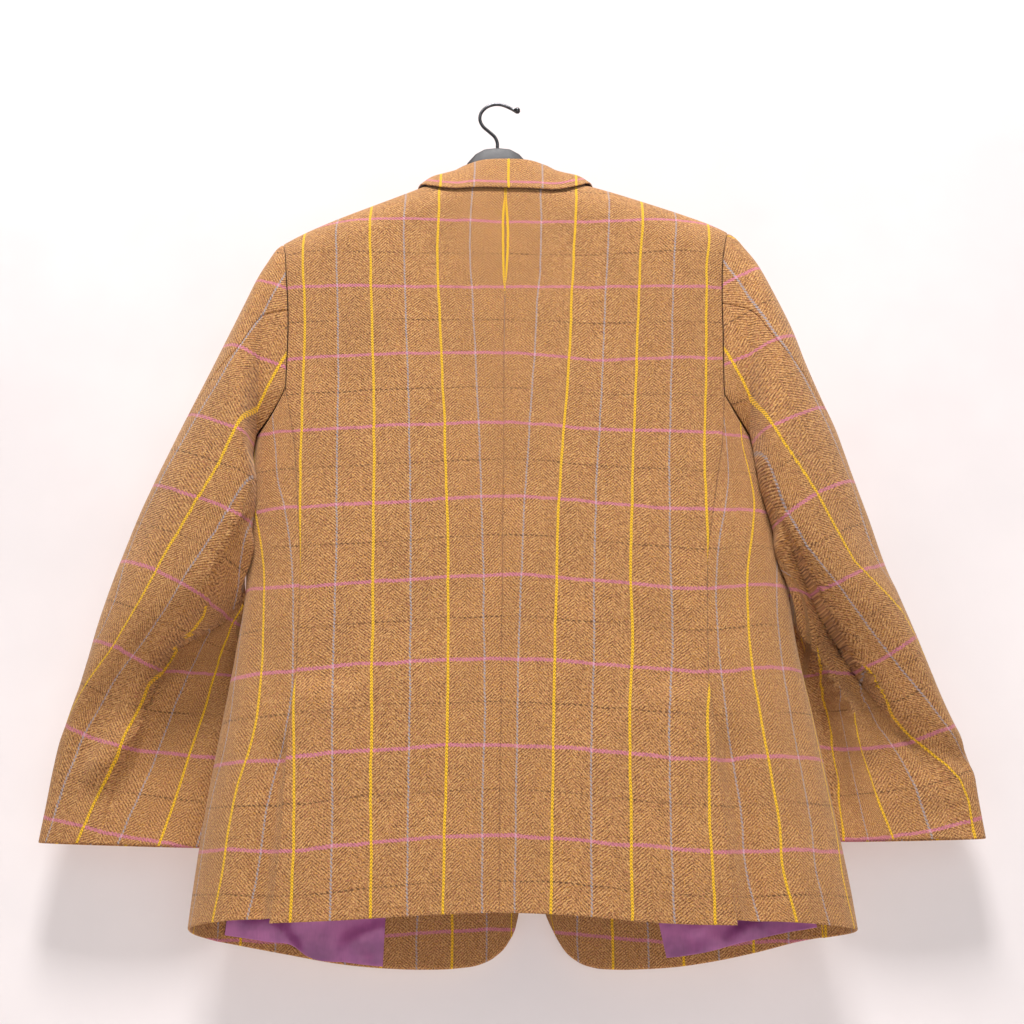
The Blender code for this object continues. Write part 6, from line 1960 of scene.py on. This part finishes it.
def button_blank():
    """A turned button that lies at the origin with its face up: rim, sunken middle and four holes."""
    radius, thick = BUTTON_DIAMETER / 2 * METRES, BUTTON_THICKNESS * METRES
    start_clean()
    bpy.ops.mesh.primitive_cylinder_add(
        vertices=64, radius=radius, depth=thick, location=(0, 0, thick / 2))
    item = bpy.context.object
    bpy.ops.object.mode_set(mode="EDIT")
    bpy.ops.mesh.select_mode(type="FACE")
    pick(lambda middle, normal: normal.z > 0.9)
    for width in (*BUTTON_RIM, BUTTON_SLOPE):
        bpy.ops.mesh.inset(thickness=radius * width)
    bpy.ops.transform.translate(value=(0, 0, -thick * (1 - BUTTON_FLOOR)))
    bpy.ops.mesh.inset(thickness=radius * BUTTON_MIDDLE_RING)
    pick(lambda middle, normal: normal.z < -0.9)
    bpy.ops.mesh.inset(thickness=radius * BUTTON_BACK_RIM)
    bpy.ops.transform.translate(value=(0, 0, -thick * BUTTON_BACK_RISE))
    bpy.ops.object.mode_set(mode="OBJECT")
    soften_edges(item, BUTTON_BEVEL, 25)
    for turn in range(4):
        angle = math.radians(45 + 90 * turn)
        spot = (HOLE_OFFSET * METRES * math.cos(angle), HOLE_OFFSET * METRES * math.sin(angle), thick / 2)
        start_clean()
        bpy.ops.mesh.primitive_cylinder_add(
            vertices=20, radius=HOLE_RADIUS * METRES, depth=thick * 3, location=spot)
        drill = bpy.context.object
        apply_modifier(item, "BOOLEAN", operation="DIFFERENCE", object=drill, solver="EXACT")
        bpy.data.objects.remove(drill)
    return finished(item, 30)


def thread_blank():
    """Two parallel bars of thread over the button's holes, with a shank below."""
    height = BUTTON_THICKNESS * BUTTON_FLOOR * METRES
    reach = HOLE_OFFSET * METRES * math.sqrt(0.5)
    parts = []
    for side in (-1, 1):
        for strand in (-0.5, 0.5):
            start_clean()
            bpy.ops.mesh.primitive_torus_add(
                location=(side * reach + strand * THREAD_GAP, 0, height - reach * THREAD_SINK),
                major_segments=28, minor_segments=8, major_radius=reach, minor_radius=THREAD_RADIUS,
                rotation=(0, math.radians(90), 0))
            parts.append(bpy.context.object)
    start_clean()
    bpy.ops.mesh.primitive_cylinder_add(
        vertices=20, radius=SHANK_RADIUS, depth=SHANK_LENGTH, location=(0, 0, SHANK_Z))
    parts.append(bpy.context.object)
    for part in parts:
        part.select_set(True)
    bpy.ops.object.join()
    return finished(bpy.context.object, 60)


def finished(item, angle):
    """Merge, close and smooth a modelled piece, with its place in its mesh."""
    start_clean()
    item.select_set(True)
    bpy.context.view_layer.objects.active = item
    bpy.ops.object.transform_apply(location=True, rotation=True, scale=True)
    bpy.ops.object.mode_set(mode="EDIT")
    bpy.ops.mesh.select_all(action="SELECT")
    bpy.ops.mesh.remove_doubles(threshold=0.00001)
    bpy.ops.mesh.normals_make_consistent(inside=False)
    bpy.ops.object.mode_set(mode="OBJECT")
    bpy.ops.object.shade_smooth_by_angle(angle=math.radians(angle))
    return item


def set_down(blank, name, place, normal):
    """A copy of a blank with its own mesh, laid upright at a place with its face along the normal."""
    item = blank.copy()
    item.data = blank.data.copy()
    item.name = name
    bpy.context.scene.collection.objects.link(item)
    face = Vector(normal).normalized()
    right = Vector((0, 0, 1)).cross(face).normalized()
    turn = Matrix((right, face.cross(right), face)).transposed().to_4x4()
    item.data.transform(Matrix.Translation(Vector(place) * METRES) @ turn)
    return item


def buttonhole_blank():
    """A worked buttonhole: a ring of close stitches round a slit."""
    start_clean()
    bpy.ops.mesh.primitive_torus_add(
        major_segments=96, minor_segments=10, major_radius=BUTTONHOLE_HALF_WIDTH,
        minor_radius=STITCH_RADIUS)
    item = bpy.context.object
    stretch = BUTTONHOLE_LENGTH * METRES / 2 - BUTTONHOLE_HALF_WIDTH
    for vertex in item.data.vertices:
        vertex.co.x += math.copysign(stretch, vertex.co.x)
        vertex.co.z *= BUTTONHOLE_FLATNESS
    item.select_set(True)
    bpy.ops.object.mode_set(mode="EDIT")
    bpy.ops.mesh.select_all(action="SELECT")
    bpy.ops.mesh.subdivide(number_cuts=1)
    bpy.ops.object.mode_set(mode="OBJECT")
    return finished(item, 60)


def build_buttons():
    button, thread, hole = button_blank(), thread_blank(), buttonhole_blank()
    for number, height in enumerate(BUTTON_HEIGHTS, start=1):
        for blank, name, finish, slot, reach, lift, nodes in (
                (button, "horn_button_%d", "button", "button", 0.0, BUTTON_LIFT, ["button_%d"]),
                (thread, "button_thread_%d", "thread", "tweed", 0.0, BUTTON_LIFT, []),
                (hole, "buttonhole_%d", "thread", "tweed", BUTTONHOLE_REACH, BUTTONHOLE_LIFT, [])):
            x = np.array([CENTRE_X + reach])
            points, normals = front_point(x, drop_at(x, height), "left", lift)
            item = set_down(blank, name % number, points[0], normals[0])
            item.data.materials.append(material(finish))
            dress(item, slot, *(node % number for node in nodes))
    for blank in (button, thread, hole):
        bpy.data.objects.remove(blank)


# ---------------------------------------------------------------- the hanger
HOOK_STEPS = 8              # points of its wire from one row of the table to the next


def build_hanger_body():
    """The shaped hanger, with softened edges."""
    start_clean()
    solid = bpy.data.objects["hanger_body"]
    item = solid.copy()
    item.data = solid.data.copy()
    item.name = "shaped_hanger"
    bpy.context.scene.collection.objects.link(item)
    item.select_set(True)
    bpy.context.view_layer.objects.active = item
    bpy.ops.object.mode_set(mode="EDIT")
    bpy.ops.mesh.select_all(action="SELECT")
    bpy.ops.mesh.remove_doubles(threshold=0.00001)
    bpy.ops.mesh.tris_convert_to_quads()
    bpy.ops.object.mode_set(mode="OBJECT")
    soften_edges(item, HANGER_BEVEL, 20)
    finished(item, 35)
    item.data.materials.clear()
    item.data.materials.append(material("hanger"))
    dress(item, "hanger", "hanger_body")


def build_hook():
    """The hook, bent from wire that ends in a small ball."""
    start_clean()
    bpy.ops.curve.primitive_nurbs_path_add()
    wire = bpy.context.object
    wire.name = "hook_wire"
    path = wire.data
    path.splines.clear()
    path.bevel_depth = HOOK_WIRE / 2 * METRES
    path.bevel_resolution = 6
    path.use_fill_caps = True
    steps = np.arange(len(HOOK), dtype=float)
    fine = np.linspace(0, len(HOOK) - 1, HOOK_STEPS * (len(HOOK) - 1) + 1)
    line = path.splines.new("POLY")
    line.points.add(len(fine) - 1)
    for point, at in zip(line.points, fine):
        x = float(curve(steps, column(HOOK, "x"), at))
        z = float(curve(steps, column(HOOK, "z"), at))
        point.co = (x * METRES, 0.0, z * METRES, 1.0)
        point.radius = float(curve(steps, column(HOOK, "thickness"), at))
    bpy.ops.object.convert(target="MESH")
    item = finished(bpy.context.object, 50)
    item.data.materials.clear()
    item.data.materials.append(material("hook"))
    dress(item, "hook", "hanger_hook")


def build_hanger():
    build_hanger_body()
    build_hook()


# ---------------------------------------------------------------- the stage
CAMERA_PLACE = (-0.0162, 1.484, -0.911)
CAMERA_PITCH = 16.4         # degrees upwards
SENSOR_WIDTH = 36
CAMERA_LENS = 1500 / 1024 * SENSOR_WIDTH
FLOOR_SIZE = 12
FLOOR_Z = -1.45
WALL_Y = -0.082
WALL_HEIGHT = 3.4
WALL_GLOW = 0.42            # a lit backdrop, so that shadows on it stay faint
Lamp = namedtuple("Lamp", "name place aim size share")
LAMPS = (
    Lamp("Key light", (0.1, 1.6, 2.5), (0, 0, -0.45), 0.8, 2.35),
    Lamp("Fill light", (-0.6, 3.2, -0.3), (0, 0, -0.6), 2.0, 0.34),
    Lamp("Front light", (0.6, -2.6, 0.9), (0, 0, -0.5), 2.0, 1.3),
)


def stage_material(name, light, dark, see_through):
    """A pale, faintly mottled surface; a wall is clear from behind and lets the lamps through."""
    values = {"Scale": 2.6, "Stretch": (1, 1, 1), "Light": (*light, 1), "Dark": (*dark, 1),
              "Smooth": 0.85, "Rough": 0.95}
    made, effect = new_material(name, grain_group(), values, (0.1, 0.001), {"Specular IOR Level": 0.2})
    with_place(made, effect, "object")
    if see_through:
        n = Nodes(made.node_tree)
        shader = made.node_tree.nodes["Principled BSDF"]
        shader.inputs["Emission Color"].default_value = (*light, 1)
        shader.inputs["Emission Strength"].default_value = WALL_GLOW
        end = made.node_tree.nodes["Material Output"]
        behind = n.math("MAXIMUM", n.add("ShaderNodeNewGeometry").outputs["Backfacing"],
                        n.add("ShaderNodeLightPath").outputs["Is Shadow Ray"])
        clear = n.add("ShaderNodeBsdfTransparent")
        both = n.add("ShaderNodeMixShader")
        n.put(both.inputs[0], behind)
        n.put(both.inputs[1], shader.outputs[0])
        n.put(both.inputs[2], clear.outputs[0])
        n.put(end.inputs["Surface"], both.outputs[0])
    return made


def stage_plane(name, place, turn, size, finish):
    bpy.ops.object.select_all(action="DESELECT")
    bpy.ops.mesh.primitive_plane_add(size=size, location=place, rotation=turn)
    plane = bpy.context.object
    plane.name = name
    bpy.ops.object.transform_apply(location=True, rotation=True, scale=True)
    plane.data.materials.append(finish)


def build_stage():
    """Floor, wall, camera and soft lights."""
    stage = bpy.context.scene.jacket_stage
    camera = bpy.data.cameras.new("Camera")
    camera.lens = CAMERA_LENS
    camera.sensor_width = SENSOR_WIDTH
    item = bpy.data.objects.new("Camera", camera)
    item.location = CAMERA_PLACE
    item.rotation_euler = (math.radians(90 + CAMERA_PITCH), 0, math.radians(180))
    bpy.context.scene.collection.objects.link(item)
    bpy.context.scene.camera = item
    stage_plane("floor", (0, 0, FLOOR_Z), (0, 0, 0), FLOOR_SIZE,
                stage_material("Pale floor", stage.floor, stage.floor, False))
    stage_plane("wall", (0, WALL_Y, FLOOR_Z + WALL_HEIGHT / 2), (math.radians(-90), 0, 0), WALL_HEIGHT,
                stage_material("Pale wall", stage.wall, stage.wall_patch, True))
    for lamp in LAMPS:
        light = bpy.data.lights.new(lamp.name, "AREA")
        light.size = lamp.size
        light.energy = stage.lamp_power * lamp.share
        item = bpy.data.objects.new(lamp.name, light)
        item.location = lamp.place
        beam = Vector(lamp.aim) - Vector(lamp.place)
        item.rotation_euler = beam.to_track_quat("-Z", "Y").to_euler()
        bpy.context.scene.collection.objects.link(item)
    world = bpy.data.worlds.new("World")
    world.use_nodes = True
    sky = world.node_tree.nodes["Background"]
    sky.inputs["Color"].default_value = (*stage.sky, 1)
    sky.inputs["Strength"].default_value = stage.sky_strength
    bpy.context.scene.world = world
    bpy.context.scene.view_settings.view_transform = "Standard"


# ---------------------------------------------------------------- settings
def colour(name, description, default):
    return FloatVectorProperty(name=name, description=description, default=default, subtype="COLOR",
                               size=3, min=0.0, max=1.0)


def length(name, description, default):
    return FloatProperty(name=name, description=description, default=default, min=0.0001, max=1.0,
                         unit="LENGTH", precision=5)


class JacketCloth(bpy.types.PropertyGroup):
    """Sizes and colours of the tweed."""
    repeat_across: length("Repeat across", "From one yellow stripe to the next", REPEAT_ACROSS * METRES)
    repeat_down: length("Repeat down", "From one pink line to the next", REPEAT_DOWN * METRES)
    column_width: length("Column", "Width of one column of the herringbone", 0.0175)
    twill_rise: length("Twill rise", "Rise from one slanting rib to the next", 0.0031)
    yellow_width: length("Yellow stripe", "Width of the yellow stripe", 0.0024)
    pink_width: length("Pink line", "Width of the pink line", 0.0031)
    thin_width: length("Thin lines", "Width of the blue and the dark line", 0.0017)
    wool: colour("Wool", "Main colour of the wool", (0.402, 0.180, 0.065))
    light_fleck: colour("Light fleck", "Lighter fibres", (0.675, 0.384, 0.148))
    gold_fleck: colour("Gold fleck", "Golden fibres", (0.60, 0.27, 0.040))
    rust_fleck: colour("Rust fleck", "Reddish fibres", (0.44, 0.150, 0.078))
    dark_fleck: colour("Dark fleck", "Dark fibres", (0.125, 0.046, 0.016))
    yellow: colour("Yellow", "Yellow stripe", (0.88, 0.50, 0.020))
    pink: colour("Pink", "Pink line", (0.55, 0.165, 0.255))
    blue: colour("Blue", "Blue line", (0.33, 0.315, 0.36))
    dark_line: colour("Dark line", "Dark line", (0.07, 0.028, 0.012))


class JacketTrim(bpy.types.PropertyGroup):
    """Colours of the lining, buttons and hanger."""
    satin: colour("Satin", "Lining", (0.46, 0.13, 0.345))
    deep_satin: colour("Deep satin", "Lining where it looks darker", (0.25, 0.062, 0.205))
    felt: colour("Felt", "Felt under the collar", (0.10, 0.03, 0.09))
    button: colour("Button", "Light parts of the horn", (0.16, 0.075, 0.03))
    button_dark: colour("Button, dark", "Dark parts of the horn", (0.035, 0.015, 0.008))
    hanger: colour("Hanger", "Hanger", (0.034, 0.029, 0.032))
    hanger_dark: colour("Hanger, dark", "Dark specks of the hanger", (0.022, 0.018, 0.021))
    hook: colour("Hook", "Metal of the hook", (0.14, 0.14, 0.15))
    hook_dark: colour("Hook, dark", "Tarnish of the hook", (0.06, 0.06, 0.065))


class JacketStage(bpy.types.PropertyGroup):
    """Colours and light of the stage."""
    floor: colour("Floor", "Floor", (0.72, 0.69, 0.68))
    wall: colour("Wall", "Wall", (0.62, 0.57, 0.567))
    wall_patch: colour("Wall patch", "Darker patches of the wall", (0.55, 0.51, 0.51))
    sky: colour("Sky", "Light from all round", (1.0, 0.97, 0.96))
    sky_strength: FloatProperty(name="Sky strength", description="Strength of the light from all round",
                                default=0.12, min=0.0, max=5.0)
    lamp_power: FloatProperty(name="Lamp power", description="Power of the key light", default=70.0,
                              min=0.0, max=1000.0, unit="POWER")


# ---------------------------------------------------------------- operators
class JacketOperator:
    bl_options = {"REGISTER", "UNDO"}

    def execute(self, context):
        self.build()
        return {"FINISHED"}


class JACKET_OT_backs(JacketOperator, bpy.types.Operator):
    """Build both halves of the back"""
    bl_idname = "jacket.backs"
    bl_label = "Back"

    def build(self):
        build_backs()


class JACKET_OT_sides(JacketOperator, bpy.types.Operator):
    """Build the side panels with their vents"""
    bl_idname = "jacket.sides"
    bl_label = "Side Panels"

    def build(self):
        build_sides()


class JACKET_OT_fronts(JacketOperator, bpy.types.Operator):
    """Build both fronts"""
    bl_idname = "jacket.fronts"
    bl_label = "Fronts"

    def build(self):
        build_fronts()


class JACKET_OT_facings(JacketOperator, bpy.types.Operator):
    """Build the front facings and linings"""
    bl_idname = "jacket.facings"
    bl_label = "Facings and Linings"

    def build(self):
        build_facings()


class JACKET_OT_sleeves(JacketOperator, bpy.types.Operator):
    """Build the two-piece sleeves"""
    bl_idname = "jacket.sleeves"
    bl_label = "Sleeves"

    def build(self):
        build_sleeves()


class JACKET_OT_collar(JacketOperator, bpy.types.Operator):
    """Build the turned-down collar"""
    bl_idname = "jacket.collar"
    bl_label = "Collar"

    def build(self):
        build_collar()


class JACKET_OT_lapels(JacketOperator, bpy.types.Operator):
    """Build the lapels"""
    bl_idname = "jacket.lapels"
    bl_label = "Lapels"

    def build(self):
        build_lapels()


class JACKET_OT_flaps(JacketOperator, bpy.types.Operator):
    """Build the slanted pocket flaps"""
    bl_idname = "jacket.flaps"
    bl_label = "Pocket Flaps"

    def build(self):
        build_flaps()


class JACKET_OT_buttons(JacketOperator, bpy.types.Operator):
    """Build the buttons, their thread and the buttonholes"""
    bl_idname = "jacket.buttons"
    bl_label = "Buttons and Buttonholes"

    def build(self):
        build_buttons()


class JACKET_OT_hanger(JacketOperator, bpy.types.Operator):
    """Build the hanger and its hook"""
    bl_idname = "jacket.hanger"
    bl_label = "Hanger"

    def build(self):
        build_hanger()


class JACKET_OT_stage(JacketOperator, bpy.types.Operator):
    """Build the floor, wall, lights and camera"""
    bl_idname = "jacket.stage"
    bl_label = "Stage"

    def build(self):
        build_stage()


OPERATORS = (
    JACKET_OT_backs, JACKET_OT_sides, JACKET_OT_fronts, JACKET_OT_facings, JACKET_OT_sleeves,
    JACKET_OT_collar, JACKET_OT_lapels, JACKET_OT_flaps, JACKET_OT_buttons, JACKET_OT_hanger,
    JACKET_OT_stage)


class JACKET_PT_panel(bpy.types.Panel):
    """Settings and pieces of the jacket"""
    bl_label = "Tweed Hacking Jacket"
    bl_idname = "JACKET_PT_panel"
    bl_space_type = "VIEW_3D"
    bl_region_type = "UI"
    bl_category = "Jacket"

    def draw(self, context):
        layout = self.layout
        for title, kind in SETTINGS.items():
            box = layout.box()
            box.label(text=title)
            group = getattr(context.scene, "jacket_" + title.lower())
            for name in kind.__annotations__:
                box.prop(group, name)
        for operator in OPERATORS:
            layout.operator(operator.bl_idname)


SETTINGS = {"Cloth": JacketCloth, "Trim": JacketTrim, "Stage": JacketStage}


def register():
    for kind in (*SETTINGS.values(), *OPERATORS, JACKET_PT_panel):
        bpy.utils.register_class(kind)
    for title, kind in SETTINGS.items():
        setattr(bpy.types.Scene, "jacket_" + title.lower(), PointerProperty(type=kind))


def unregister():
    for title in SETTINGS:
        delattr(bpy.types.Scene, "jacket_" + title.lower())
    for kind in (JACKET_PT_panel, *reversed(OPERATORS), *SETTINGS.values()):
        bpy.utils.unregister_class(kind)


def main():
    """Build all pieces in order."""
    register()
    for operator in OPERATORS:
        group, name = operator.bl_idname.split(".")
        if getattr(getattr(bpy.ops, group), name)() != {"FINISHED"}:
            raise RuntimeError(operator.bl_label + " was not built")


if __name__ == "__main__":
    main()
